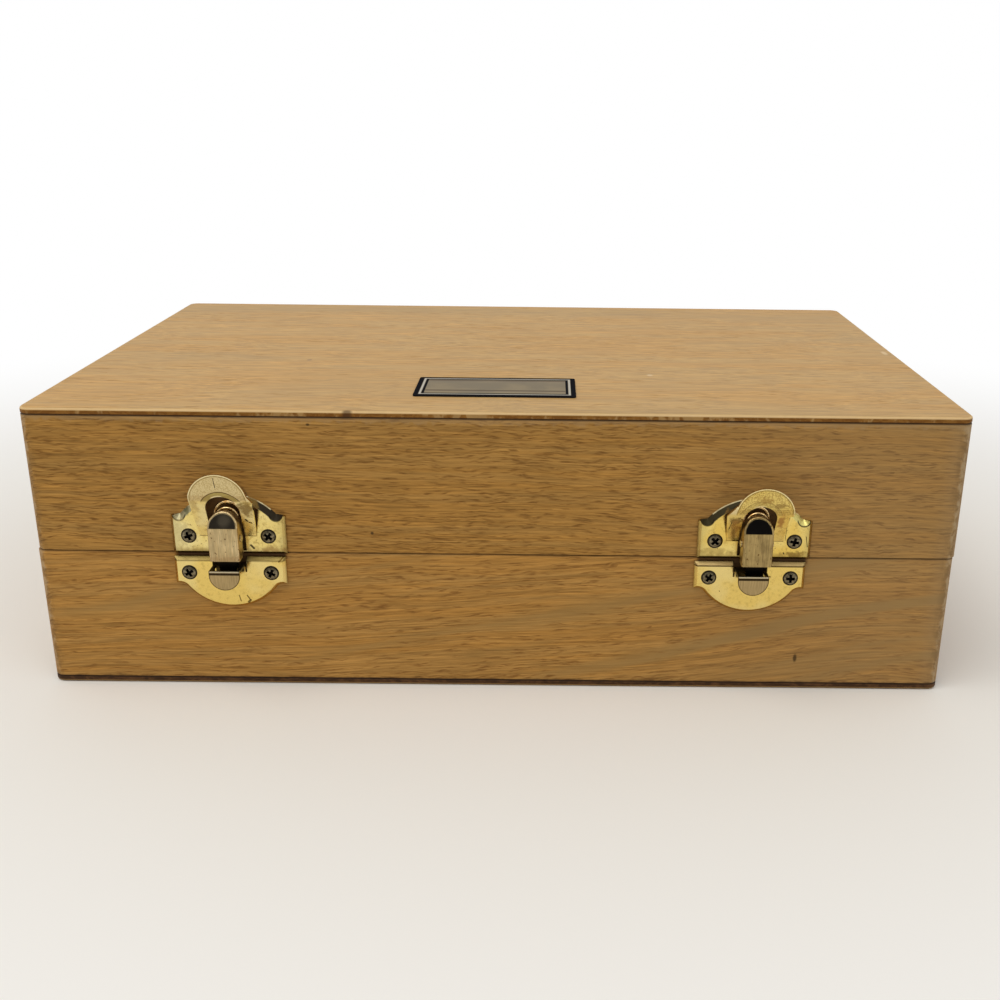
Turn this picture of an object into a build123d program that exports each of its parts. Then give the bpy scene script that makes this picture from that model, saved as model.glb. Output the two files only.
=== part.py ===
from build123d import *
import os
from math import cos, sin, sqrt, radians, degrees, acos, atan2, pi, hypot

# A hinged wooden case with two sprung catches. All sizes are in millimetres.
# The origin is the middle of the underside. +X is to the right, +Y is to the back, +Z is up.

# Wooden box
WIDTH = 240.0
DEPTH = 150.0
HEIGHT = 76.6
SEAM_Z = 38.3
SEAM_GAP = 0.1
BOARD = 8.0
PANEL = 1.7
CORNER_LAP = 4.0
CORNER_R = 3.0
EDGE_ROUND = 0.7
JOINT_CHAMFER = 0.25
LID_SHIFT = 0.3

# Plate on the lid
LABEL_WIDTH = 42.9
LABEL_DEPTH = 20.2
LABEL_THICK = 0.4
LABEL_X = -0.9
LABEL_Y = -49.7
LABEL_CORNER_R = 0.8

# Foam
FOAM_GAP = 0.5
TRAY_TOP_Z = 33.0
TRAY_FLOOR = 4.0
POCKET_R = 6.0
POCKET_DEPTH_Y = 112.0
LOUPE_POCKET_WIDTH = 152.0
LOUPE_POCKET_X = -27.0
ACCESSORY_POCKET_WIDTH = 42.0
ACCESSORY_POCKET_X = 82.0
LID_PAD_THICK = 12.0
LID_PAD_ROUND = 3.0

# Wood screws with raised countersunk heads
HEAD_R = 2.0
HEAD_RISE = 0.55
HEAD_SINK = 1.1
SHANK_R = 0.9
PILOT_R = 1.0
SCREW_LENGTH = 7.2
SCREW_POINT = 1.6
RECESS_WIDTH = 0.75
RECESS_LENGTH = 2.3
RECESS_DEPTH = 0.9
SEAT_CLEARANCE = 0.03

# Stamped sheet of the catches
SHEET = 0.65
PLATE_PROUD = 1.5
PLATE_BEVEL = 0.9
PLATE_BEVEL_DEPTH = 0.8
PLATE_RIM = 1.0
RIM_OVERLAP = 1.0

# Catch plate on the lid
LATCH_X = {"left": -68.8, "right": 66.9}
PLATE_HALF = 14.7
PLATE_LOW_Z = 38.4
PLATE_CORNER_Z = 48.7
PLATE_SCREW_X = 10.25
PLATE_SCREW_Z = 43.4
SHOULDER_R = 14.8
SHOULDER_CENTRE_Z = 38.4
SHOULDER_END_DEG = 41.0
GROOVE_R = 1.7
HORN_X = 3.4
HORN_R = 15.9
CREASE_Z = 43.4
SLIT_X = 7.35
SLIT_TOP_X = 8.2

# Lift tab, bent out of the catch plate
TONGUE_HALF = 7.25
TONGUE_TOP_HALF = 7.9
TONGUE_TOP_DROP = 0.5
TONGUE_TOP_SHIFT = {"left": 0.2, "right": -0.4}
TONGUE_NECK_HALF = 6.2
TONGUE_NECK_RISE = 3.0
TONGUE_FOOT = 0.5
TONGUE_TOP_PROUD = 8.0
TAB_R = 7.4
TAB_CENTRE_Z = {"left": 54.8, "right": 52.6}
TAB_SHIFT = {"left": -0.3, "right": 1.05}
TAB_LEAN = 0.4
TAB_BEND_RISE = 1.9
WINDOW_HALF = 4.3
WINDOW_ARCH_DROP = {"left": 2.8, "right": 1.7}
WINDOW_SHIFT = {"left": 0.3, "right": 0.1}

# Bridge and ears that carry the lever
BRIDGE_HALF = 3.1
BRIDGE_SLOT_OUT = 4.4
BRIDGE_SLOT_LOW_Z = 39.4
EAR_THICK = 0.6
EAR_ROOT_Z = 40.2
EAR_R = 1.5
PIVOT_PROUD = 4.4
PIVOT_Z = 44.0

# Pivot pin of the lever
PIN_R = 0.6
PIN_CLEARANCE = 0.05
PIN_HEAD_R = 0.95
PIN_HEAD = 0.3

# Lever
LEVER_HALF = 3.85
LEVER_WALL = 0.6
LEVER_PROUD = 6.8
LEVER_LOW_Z = 38.4
LEVER_CREASE_Z = 47.3
LEVER_TOP_Z = 51.4
LEVER_TOP_PROUD = 5.0
LEVER_BACK = 2.2
LEVER_EDGE_ROUND = 0.5
LEVER_TOP_WALL = 1.2
LEVER_HEEL = 1.8
TAIL_HALF = 2.2
TAIL_FRONT = 4.2
TAIL_BACK = 3.6
TAIL_LOW_Z = 33.5
BARB_TIP = 2.4
BARB_TOP_Z = 34.9
BARB_TIP_Z = 34.5
TAIL_POINT = 0.4

# Spring behind the lever's pad
SPRING_WOOD_R = 3.15
SPRING_WOOD_Z = 49.7
SPRING_PAD_R = 2.2
SPRING_PAD_Z = 47.5
SPRING_WIRE = 0.85
SPRING_LOW = 0.48
SPRING_PITCH = 1.38
SPRING_TURNS = 2.5

# Keeper plate on the base
KEEPER_X = {"left": -69.15, "right": 66.25}
KEEPER_HALF = 14.5
KEEPER_TOP_Z = 37.4
KEEPER_CORNER_Z = 29.9
KEEPER_R = 14.7
KEEPER_CENTRE_Z = 37.95
KEEPER_BLEND_R = 2.2
KEEPER_SCREW_X = 10.65
KEEPER_SCREW_Z = 33.15
LEDGE_Z = 35.8
LEDGE_HALF = 3.95
LEDGE_SLOT_HALF = 3.2
LEDGE_SLOT_BACK = 3.2
LIP_FRONT = 7.2
LIP_LOW_Z = 30.6
NOTCH_OUT = 4.4
NOTCH_LOW_Z = 33.4

# Hinges on the back
HINGE_X = {"left": -70.0, "right": 70.0}
HINGE_WIDTH = 28.0
LEAF_HEIGHT = 11.0
LEAF_THICK = 1.0
LEAF_CORNER_R = 1.2
KNUCKLE_R = 1.9
KNUCKLE_STANDOFF = 2.0
KNUCKLES = 5
KNUCKLE_GAP = 0.1
LEAF_RELIEF = 2.3
LEAF_OVERLAP = 0.2
HINGE_PIN_R = 0.9
HINGE_PIN_CLEARANCE = 0.05
HINGE_PIN_HEAD_R = 1.3
HINGE_PIN_HEAD = 0.4
HINGE_SCREW_X = 9.0
HINGE_SCREW_DROP = 7.2

FRONT_Y = -DEPTH / 2
BACK_Y = DEPTH / 2
PAST = 1.0
FRONT = Plane(origin=(0, FRONT_Y, 0), x_dir=(1, 0, 0), z_dir=(0, -1, 0))
BACK = Plane(origin=(0, BACK_Y, 0), x_dir=(-1, 0, 0), z_dir=(0, 1, 0))
SIDE = Plane(origin=(0, FRONT_Y, 0), x_dir=(0, -1, 0), z_dir=(-1, 0, 0))


def from_front(sketch, low, high):
    """Prism of a sketch in (x, z), from one height above the front face to another."""
    return extrude(FRONT.offset(low) * sketch, high - low)


def from_side(sketch, half_width):
    """Prism of a sketch in (height above the front face, z), to both sides of X = 0."""
    return extrude(SIDE * sketch, half_width, both=True)


def block(x, y, z):
    """Box between two values of each coordinate."""
    size = (x[1] - x[0], y[1] - y[0], z[1] - z[0])
    middle = ((x[0] + x[1]) / 2, (y[0] + y[1]) / 2, (z[0] + z[1]) / 2)
    return Pos(*middle) * Box(*size)


def polar(centre, radius, angle):
    """Point at an angle in degrees on a circle."""
    return (centre[0] + radius * cos(radians(angle)), centre[1] + radius * sin(radians(angle)))


def arc(centre, radius, start, end):
    """Arc on a circle between two angles in degrees."""
    middle = polar(centre, radius, (start + end) / 2)
    return ThreePointArc(polar(centre, radius, start), middle, polar(centre, radius, end))


def both_sides(half):
    """A half sketch joined to its mirror image in x."""
    return half + mirror(half, about=Plane.YZ)


def bar(x_low, x_high, y_low, y_high):
    """Rectangle sketch between its edges."""
    return Pos((x_low + x_high) / 2, (y_low + y_high) / 2) * Rectangle(x_high - x_low, y_high - y_low)


def arched(half_width, low, centre_y, shift):
    """Upright shape with straight sides and a round top, its top moved sideways by shift."""
    outline = [
        Line((-half_width, low), (half_width, low)),
        Line((half_width, low), (half_width + shift, centre_y)),
        arc((shift, centre_y), half_width, 0, 180),
        Line((shift - half_width, centre_y), (-half_width, low)),
    ]
    return make_face(outline)


def bent_sheet(points, thickness):
    """Edge view of a bent sheet: its outer face runs along the points, its thickness is to their left."""
    inner = []
    for i, point in enumerate(points):
        before = points[max(i - 1, 0)]
        after = points[min(i + 1, len(points) - 1)]
        into = unit(point, after) if i == 0 else unit(before, point)
        out = unit(before, point) if i == len(points) - 1 else unit(point, after)
        spread = 1 + into[0] * out[0] + into[1] * out[1]
        left = (-(into[1] + out[1]) * thickness / spread, (into[0] + out[0]) * thickness / spread)
        inner.append((point[0] + left[0], point[1] + left[1]))
    return make_face(Polyline(*points, *reversed(inner), close=True))


def unit(start, end):
    """Direction of length 1 from one point to another."""
    length = hypot(end[0] - start[0], end[1] - start[1])
    return ((end[0] - start[0]) / length, (end[1] - start[1]) / length)


def wooden_ring(z_low, z_high):
    """The four walls in one, before they are cut into boards."""
    outline = RectangleRounded(WIDTH, DEPTH, CORNER_R) - Rectangle(WIDTH - 2 * BOARD, DEPTH - 2 * BOARD)
    ring = extrude(Pos(0, 0, z_low) * outline, z_high - z_low)
    edges = ring.faces().sort_by(Axis.Z)[0].outer_wire().edges()
    edges += ring.faces().sort_by(Axis.Z)[-1].outer_wire().edges()
    return chamfer(edges, JOINT_CHAMFER)


def boards(z_low, z_high):
    """Front, back, left and right board. The side boards stand in rabbets of the other two."""
    ring = wooden_ring(z_low, z_high)
    z = (z_low - PAST, z_high + PAST)
    out_x = WIDTH / 2 + PAST
    in_x = WIDTH / 2 - BOARD
    lap_y = DEPTH / 2 - CORNER_LAP
    in_y = DEPTH / 2 - BOARD
    front_cut = block((-out_x, out_x), (-DEPTH, -lap_y), z) + block((-in_x, in_x), (-lap_y, -in_y), z)
    side_cut = block((in_x, out_x), (-lap_y, lap_y), z)
    return {
        "front": ring & front_cut,
        "back": ring & mirror(front_cut, about=Plane.XZ),
        "left": ring & mirror(side_cut, about=Plane.YZ),
        "right": ring & side_cut,
    }


def panel(z_low, rounded_low):
    """Thin board that closes the frame, with its outer edge rounded on one face."""
    solid = extrude(Pos(0, 0, z_low) * RectangleRounded(WIDTH, DEPTH, CORNER_R), PANEL)
    faces = solid.faces().sort_by(Axis.Z)
    show, joint = (faces[0], faces[-1]) if rounded_low else (faces[-1], faces[0])
    solid = chamfer(joint.edges(), JOINT_CHAMFER)
    show = solid.faces().sort_by(Axis.Z)[0 if rounded_low else -1]
    return fillet(show.edges(), EDGE_ROUND)


def label_plate():
    outline = RectangleRounded(LABEL_WIDTH, LABEL_DEPTH, LABEL_CORNER_R)
    return extrude(Pos(LABEL_X, LABEL_Y, HEIGHT) * outline, LABEL_THICK)


def foam_block(z_low, z_high):
    """Block that fills the box's inside between two heights."""
    half_x = WIDTH / 2 - BOARD - FOAM_GAP
    half_y = DEPTH / 2 - BOARD - FOAM_GAP
    return block((-half_x, half_x), (-half_y, half_y), (z_low, z_high))


def foam_tray():
    """Foam in the base with one pocket for the loupes and one for what goes with them."""
    tray = foam_block(PANEL, TRAY_TOP_Z)
    depth = TRAY_TOP_Z - PANEL - TRAY_FLOOR
    pockets = ((LOUPE_POCKET_X, LOUPE_POCKET_WIDTH), (ACCESSORY_POCKET_X, ACCESSORY_POCKET_WIDTH))
    for x, width in pockets:
        outline = RectangleRounded(width, POCKET_DEPTH_Y, POCKET_R)
        tray -= extrude(Pos(x, 0, PANEL + TRAY_FLOOR) * outline, depth)
    return tray


def foam_pad():
    """Foam in the lid, its lower edges rounded."""
    top = HEIGHT - PANEL
    pad = foam_block(top - LID_PAD_THICK, top)
    return fillet(pad.faces().sort_by(Axis.Z)[0].edges(), LID_PAD_ROUND)


def head_cone(clearance):
    """The sunk part of a screw head, below z = 0, with its mouth a little above."""
    slope = (HEAD_R - SHANK_R) / HEAD_SINK
    above = SHEET / 3
    low_r = SHANK_R + clearance
    high_r = HEAD_R + clearance + slope * above
    height = HEAD_SINK + above
    return Pos(0, 0, above - height / 2) * Cone(low_r, high_r, height)


def screw(turn):
    """Wood screw along Z with its head's rim at z = 0. The cross is turned by an angle in degrees."""
    dome_r = (HEAD_R**2 + HEAD_RISE**2) / (2 * HEAD_RISE)
    dome_z = HEAD_RISE - dome_r
    rim_angle = degrees(atan2(-dome_z, HEAD_R))
    body = [
        arc((0, dome_z), dome_r, 90, rim_angle),
        Line((HEAD_R, 0), (SHANK_R, -HEAD_SINK)),
        Line((SHANK_R, -HEAD_SINK), (SHANK_R, SCREW_POINT - SCREW_LENGTH)),
        Line((SHANK_R, SCREW_POINT - SCREW_LENGTH), (0, -SCREW_LENGTH)),
        Line((0, -SCREW_LENGTH), (0, HEAD_RISE)),
    ]
    solid = revolve(Plane.XZ * make_face(body), Axis.Z)
    slot = Pos(0, 0, HEAD_RISE - RECESS_DEPTH / 2) * Box(RECESS_LENGTH, RECESS_WIDTH, RECESS_DEPTH)
    for angle in (turn, turn + 90):
        solid -= Rot(0, 0, angle) * slot
    return solid


def seats(plane, places, height):
    """Cutter for the countersunk holes of a plate whose outer face is at a height above the plane."""
    cutter = []
    for x, z in places:
        drill = Cylinder(SHANK_R + SEAT_CLEARANCE, 3 * HEAD_SINK)
        cutter.append(plane.offset(height) * Pos(x, z) * (head_cone(SEAT_CLEARANCE) + drill))
    return cutter


def pilots(plane, places):
    """Cutter for the screw holes in a board."""
    depth = SCREW_LENGTH
    return [plane * Pos(x, z, -depth / 2) * Cylinder(PILOT_R, depth) for x, z in places]


def screws(plane, places, height, first_turn):
    """Screws in a group, each with its cross turned differently."""
    group = []
    for i, (x, z) in enumerate(places):
        group.append(plane.offset(height) * Pos(x, z) * screw(first_turn + 34 * i))
    return Compound(children=group)


def pair_of_places(x, offset, z):
    """The two screw places of a plate."""
    return [(x - offset, z), (x + offset, z)]


def bevelled_pan(outline, hollow, bevelled):
    """Stamped plate: a sheet standing proud of the board, with the chosen edges of its face turned down."""
    pan = from_front(outline, 0, PLATE_PROUD)
    face = pan.faces().sort_by(Axis.Y)[0]
    edges = [edge for edge in face.outer_wire().edges() if bevelled(edge.center())]
    pan = chamfer(edges, PLATE_BEVEL_DEPTH, PLATE_BEVEL, reference=face)
    return pan - from_front(hollow, 0, PLATE_PROUD - SHEET)


def on_side_or_foot(middle):
    """Whether the middle of an edge lies on the catch plate's outer sides or its lower edge."""
    return abs(middle.X) > PLATE_HALF - PLATE_RIM or middle.Z < PLATE_LOW_Z + PLATE_RIM


def catch_outline():
    """Outline of the lid's catch plate in (x, z) where it meets the wood, open between the slits."""
    shoulder = (0, SHOULDER_CENTRE_Z)
    foot_r = SHOULDER_R + PLATE_PROUD
    slit_deg = degrees(acos(SLIT_TOP_X / foot_r))
    slit_top = polar(shoulder, foot_r, slit_deg)
    half = [
        Line((0, PLATE_LOW_Z), (PLATE_HALF, PLATE_LOW_Z)),
        Line((PLATE_HALF, PLATE_LOW_Z), (PLATE_HALF, PLATE_CORNER_Z)),
        Line((PLATE_HALF, PLATE_CORNER_Z), polar(shoulder, foot_r, SHOULDER_END_DEG)),
        arc(shoulder, foot_r, SHOULDER_END_DEG, slit_deg),
        Line(slit_top, (SLIT_X, CREASE_Z)),
        Line((SLIT_X, CREASE_Z), (0, CREASE_Z)),
        Line((0, CREASE_Z), (0, PLATE_LOW_Z)),
    ]
    return both_sides(make_face(half) + horn())


def horn():
    """Outline of the tapering end of the turned-down shoulder, past the slit and behind the tongue."""
    shoulder = (0, SHOULDER_CENTRE_Z)
    root = polar(shoulder, SHOULDER_R, degrees(acos(SLIT_TOP_X / SHOULDER_R)))
    tip_deg = degrees(acos(HORN_X / HORN_R))
    strip = [root, polar(shoulder, HORN_R, tip_deg), (HORN_X, root[1] + TAB_R), (root[0], root[1] + TAB_R)]
    return make_face(Polyline(*strip, close=True)) & Pos(*shoulder) * Circle(SHOULDER_R + PLATE_PROUD)


def shoulder_cutter():
    """What is cut off the plate's upper edge: the outside of a wide cone, and a conical groove beside it."""
    shoulder = (0, SHOULDER_CENTRE_Z)
    far = 3 * SHOULDER_R
    sector = [shoulder, polar(shoulder, far, SHOULDER_END_DEG), polar(shoulder, far, 180 - SHOULDER_END_DEG)]
    above = make_face(Polyline(*sector, close=True))
    middle = PLATE_PROUD / 2
    keep = FRONT * Pos(*shoulder, middle) * Cone(SHOULDER_R + PLATE_PROUD, SHOULDER_R, PLATE_PROUD)
    cutters = [from_front(above, 0, PLATE_PROUD) - keep]
    x, z = polar(shoulder, SHOULDER_R + GROOVE_R, SHOULDER_END_DEG)
    for side_x in (-x, x):
        cutters.append(FRONT * Pos(side_x, z, middle) * Cone(GROOVE_R - PLATE_PROUD, GROOVE_R, PLATE_PROUD))
    return cutters


def lift_tongue(side):
    """Tongue bent out of the catch plate: a ramp with a window, and a round tab at its top."""
    centre_z = TAB_CENTRE_Z[side]
    foot = CREASE_Z - TONGUE_FOOT
    reach = TONGUE_TOP_PROUD + 2 * TAB_LEAN + PAST
    edge_view = bent_sheet(
        [
            (PLATE_PROUD, foot),
            (PLATE_PROUD, CREASE_Z),
            (TONGUE_TOP_PROUD, centre_z + TAB_BEND_RISE),
            (TONGUE_TOP_PROUD + TAB_LEAN, centre_z + TAB_R + PAST),
        ],
        SHEET,
    )
    top_z = centre_z - TONGUE_TOP_DROP
    top_x = TONGUE_TOP_SHIFT[side]
    legs = Polygon(
        (-TONGUE_HALF, foot),
        (TONGUE_HALF, foot),
        (top_x + TONGUE_TOP_HALF, top_z),
        (TONGUE_NECK_HALF, top_z + TONGUE_NECK_RISE),
        (-TONGUE_NECK_HALF, top_z + TONGUE_NECK_RISE),
        (top_x - TONGUE_TOP_HALF, top_z),
        align=None,
    )
    dome = Pos(TAB_SHIFT[side], centre_z) * Circle(TAB_R)
    outline = legs + (dome & bar(-2 * TAB_R, 2 * TAB_R, top_z, centre_z + TAB_R))
    window = arched(WINDOW_HALF, foot - PAST, centre_z - WINDOW_ARCH_DROP[side], WINDOW_SHIFT[side])
    tongue = from_side(edge_view, TAB_R + 2 * PAST) & from_front(outline, 0, reach)
    return tongue - from_front(window, 0, reach)


def ear():
    """Side view of an ear that carries the lever's pin."""
    root_back = PLATE_PROUD - SHEET
    web = Polygon(
        (root_back, EAR_ROOT_Z),
        (PLATE_PROUD, EAR_ROOT_Z),
        (PIVOT_PROUD, PIVOT_Z - EAR_R),
        (PIVOT_PROUD, PIVOT_Z + EAR_R),
        (PLATE_PROUD, CREASE_Z),
        (root_back, CREASE_Z),
        align=None,
    )
    return web + Pos(PIVOT_PROUD, PIVOT_Z) * Circle(EAR_R)


def catch_plate(side):
    """Stamped plate on the lid with its shoulders, lift tongue, bridge and ears, at X = 0."""
    inner_x = PLATE_HALF - PLATE_RIM
    hollow = bar(-inner_x, inner_x, PLATE_LOW_Z + PLATE_RIM, CREASE_Z)
    wing = bar(SLIT_X, inner_x, CREASE_Z - RIM_OVERLAP, PLATE_CORNER_Z - 2 * PLATE_RIM)
    hollow += both_sides(wing)
    plate = bevelled_pan(catch_outline(), hollow, on_side_or_foot)
    plate -= shoulder_cutter()
    slot = bar(BRIDGE_HALF, BRIDGE_SLOT_OUT, BRIDGE_SLOT_LOW_Z, CREASE_Z + PAST)
    plate -= from_front(both_sides(slot), -PAST, PLATE_PROUD + PAST)
    plate += lift_tongue(side)
    plate += from_side(ear(), BRIDGE_HALF) - from_side(ear(), BRIDGE_HALF - EAR_THICK)
    plate -= pin_bore(PIN_R)
    return plate - seats(FRONT, pair_of_places(0, PLATE_SCREW_X, PLATE_SCREW_Z), PLATE_PROUD)


def pin_bore(radius):
    """Cylinder on the lever's pivot axis, longer than the lever is wide."""
    axis = Pos(0, FRONT_Y - PIVOT_PROUD, PIVOT_Z) * Rot(0, 90, 0)
    return axis * Cylinder(radius, 4 * LEVER_HALF)


def catch_pin():
    """Pivot pin with a flat head at each end, just clear of the lever's walls."""
    head_x = LEVER_HALF + PIN_CLEARANCE
    axis = Pos(0, FRONT_Y - PIVOT_PROUD, PIVOT_Z) * Rot(0, 90, 0)
    pin = axis * Cylinder(PIN_R, 2 * head_x + 2 * PIN_HEAD)
    for x in (-1, 1):
        pin += axis * Pos(0, 0, x * (head_x + PIN_HEAD / 2)) * Cylinder(PIN_HEAD_R, PIN_HEAD)
    return pin


def lever():
    """Drawn channel with a round bent-back pad at its top and a barbed tail at its bottom, at X = 0."""
    top = (LEVER_TOP_PROUD, LEVER_TOP_Z)
    crease = (LEVER_PROUD, LEVER_CREASE_Z)
    side_view = Polygon(
        (LEVER_PROUD, LEVER_LOW_Z),
        crease,
        top,
        (LEVER_TOP_PROUD - LEVER_TOP_WALL, LEVER_TOP_Z),
        (LEVER_BACK, LEVER_CREASE_Z),
        (LEVER_BACK, LEVER_LOW_Z + LEVER_HEEL),
        (LEVER_BACK + LEVER_HEEL, LEVER_LOW_Z),
        align=None,
    )
    arch_z = LEVER_TOP_Z - LEVER_HALF
    outline = arched(LEVER_HALF, LEVER_LOW_Z, arch_z, 0)
    reach = LEVER_PROUD + PAST
    shell = from_side(side_view, LEVER_HALF) & from_front(outline, 0, reach)
    front_y = FRONT_Y - LEVER_TOP_PROUD + 0.01
    outer = [edge for edge in shell.edges() if edge.bounding_box().max.Y <= front_y and is_outline(edge)]
    shell = fillet(outer, LEVER_EDGE_ROUND)
    slope = hypot(top[0] - crease[0], top[1] - crease[1])
    shrink = LEVER_WALL * slope / (top[1] - crease[1])
    cavity_view = Polygon(
        (-PAST, LEVER_LOW_Z + LEVER_WALL),
        (LEVER_PROUD - LEVER_WALL, LEVER_LOW_Z + LEVER_WALL),
        (LEVER_PROUD - LEVER_WALL, LEVER_CREASE_Z - 0.1),
        (LEVER_TOP_PROUD - shrink, LEVER_TOP_Z),
        (-PAST, LEVER_TOP_Z),
        align=None,
    )
    inner = arched(LEVER_HALF - LEVER_WALL, LEVER_LOW_Z, arch_z, 0)
    shell -= from_side(cavity_view, LEVER_HALF) & from_front(inner, -PAST, reach)
    shell -= from_front(bar(-LEVER_HALF, LEVER_HALF, 0, LEVER_LOW_Z + LEVER_WALL), 0, TAIL_BACK)
    tail = Polygon(
        (TAIL_FRONT, LEVER_LOW_Z + LEVER_WALL),
        (TAIL_FRONT, TAIL_LOW_Z + TAIL_POINT),
        (TAIL_BACK, TAIL_LOW_Z),
        (BARB_TIP, BARB_TIP_Z),
        (BARB_TIP, BARB_TOP_Z),
        (TAIL_BACK, BARB_TOP_Z),
        (TAIL_BACK, LEVER_LOW_Z + LEVER_WALL),
        align=None,
    )
    return shell + from_side(tail, TAIL_HALF) - pin_bore(PIN_R + PIN_CLEARANCE)


def is_outline(edge):
    """Whether an edge of the lever lies on its side walls or its round end."""
    middle = edge.center()
    return abs(middle.X) > 1 or middle.Z > LEVER_TOP_Z - 1


def spring_point(turns):
    """Point on the spring's centre line and its direction, after a number of turns. It narrows to the pad."""
    angle = 2 * pi * turns
    narrowing = (SPRING_PAD_R - SPRING_WOOD_R) / (2 * pi * SPRING_TURNS)
    drop = (SPRING_PAD_Z - SPRING_WOOD_Z) / (2 * pi * SPRING_TURNS)
    rise = SPRING_PITCH / (2 * pi)
    radius = SPRING_WOOD_R + narrowing * angle
    x = radius * cos(angle)
    y = FRONT_Y - SPRING_LOW - rise * angle
    z = SPRING_WOOD_Z + drop * angle + radius * sin(angle)
    slope_x = narrowing * cos(angle) - radius * sin(angle)
    slope_z = drop + narrowing * sin(angle) + radius * cos(angle)
    return Vector(x, y, z), Vector(slope_x, -rise, slope_z).normalized()


def biarc(start, start_direction, end, end_direction):
    """Two arcs that leave one point and reach another in the given directions."""
    across = end - start
    total = start_direction + end_direction
    bend = 2 * (1 - start_direction.dot(end_direction))
    reach = (-across.dot(total) + sqrt(across.dot(total) ** 2 + bend * across.dot(across))) / bend
    first = start + start_direction * reach
    middle = (first + end - end_direction * reach) * 0.5
    return [
        TangentArc(start, middle, tangent=start_direction),
        TangentArc(middle, end, tangent=middle - first),
    ]


def spring():
    """Coil that pushes the lever's pad out: one unbroken wire with straight ends."""
    steps = round(SPRING_TURNS * 4)
    path = []
    start, direction = spring_point(0)
    path.append(Line(start - direction * SPRING_WIRE, start))
    for step in range(1, steps + 1):
        end, end_direction = spring_point(step / 4)
        path += biarc(start, direction, end, end_direction)
        start, direction = end, end_direction
    path.append(Line(start, start + direction * SPRING_WIRE))
    wire = Wire(path)
    section = Plane(origin=wire @ 0, z_dir=wire % 0) * Circle(SPRING_WIRE / 2)
    return sweep(section, path=wire)


def spring_gap():
    """Least distance between neighbouring turns of the spring, measured on points of its centre line."""
    least = SPRING_PITCH
    samples = 36
    last = round((SPRING_TURNS - 1) * samples)
    for i in range(last + 1):
        here = spring_point(i / samples)[0]
        for j in range(samples // 2, 3 * samples // 2):
            if i + j <= SPRING_TURNS * samples:
                least = min(least, (spring_point((i + j) / samples)[0] - here).length)
    return least - SPRING_WIRE


def keeper_outline():
    """Outline of the keeper plate in (x, z): a bar joined to a round lower edge."""
    centre = (0, KEEPER_CENTRE_Z)
    blend_z = KEEPER_CORNER_Z - KEEPER_BLEND_R
    blend_x = sqrt((KEEPER_R + KEEPER_BLEND_R) ** 2 - (KEEPER_CENTRE_Z - blend_z) ** 2)
    meet_deg = degrees(atan2(blend_z - KEEPER_CENTRE_Z, blend_x))
    half = [
        Line((0, KEEPER_TOP_Z), (KEEPER_HALF, KEEPER_TOP_Z)),
        Line((KEEPER_HALF, KEEPER_TOP_Z), (KEEPER_HALF, KEEPER_CORNER_Z)),
        Line((KEEPER_HALF, KEEPER_CORNER_Z), (blend_x, KEEPER_CORNER_Z)),
        arc((blend_x, blend_z), KEEPER_BLEND_R, 90, meet_deg + 180),
        arc(centre, KEEPER_R, meet_deg, -90),
        Line((0, KEEPER_CENTRE_Z - KEEPER_R), (0, KEEPER_TOP_Z)),
    ]
    return both_sides(make_face(half))


def keeper_plate():
    """Stamped plate on the base with a slotted ledge and a round turned-down lip, at X = 0."""
    inner_x = KEEPER_HALF - PLATE_RIM
    inner_top = KEEPER_TOP_Z - PLATE_RIM
    hollow = Pos(0, KEEPER_CENTRE_Z) * Circle(KEEPER_R - PLATE_RIM)
    hollow &= bar(-KEEPER_HALF, KEEPER_HALF, 0, inner_top)
    hollow += bar(-inner_x, inner_x, KEEPER_CORNER_Z + PLATE_RIM, inner_top)
    plate = bevelled_pan(keeper_outline(), hollow, lambda middle: True)
    mouth_top = KEEPER_TOP_Z + PAST
    mouth = bar(-NOTCH_OUT, NOTCH_OUT, LEDGE_Z, mouth_top)
    mouth += both_sides(bar(LEDGE_HALF, NOTCH_OUT, NOTCH_LOW_Z, mouth_top))
    plate -= from_front(mouth, -PAST, PLATE_PROUD + PAST)
    hook_view = bent_sheet(
        [(PLATE_PROUD - SHEET, LEDGE_Z), (LIP_FRONT, LEDGE_Z), (LIP_FRONT, LIP_LOW_Z)], -SHEET
    )
    lip_z = LIP_LOW_Z + LEDGE_HALF
    lip_outline = Pos(0, lip_z) * Circle(LEDGE_HALF) + bar(-LEDGE_HALF, LEDGE_HALF, lip_z, LEDGE_Z)
    hook = from_side(hook_view, LEDGE_HALF) & from_front(lip_outline, 0, LIP_FRONT)
    slot = bar(-LEDGE_SLOT_HALF, LEDGE_SLOT_HALF, LEDGE_Z - 2 * SHEET, LEDGE_Z + PAST)
    hook -= from_front(slot, LEDGE_SLOT_BACK, LIP_FRONT - SHEET)
    plate += hook
    return plate - seats(FRONT, pair_of_places(0, KEEPER_SCREW_X, KEEPER_SCREW_Z), PLATE_PROUD)


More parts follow.
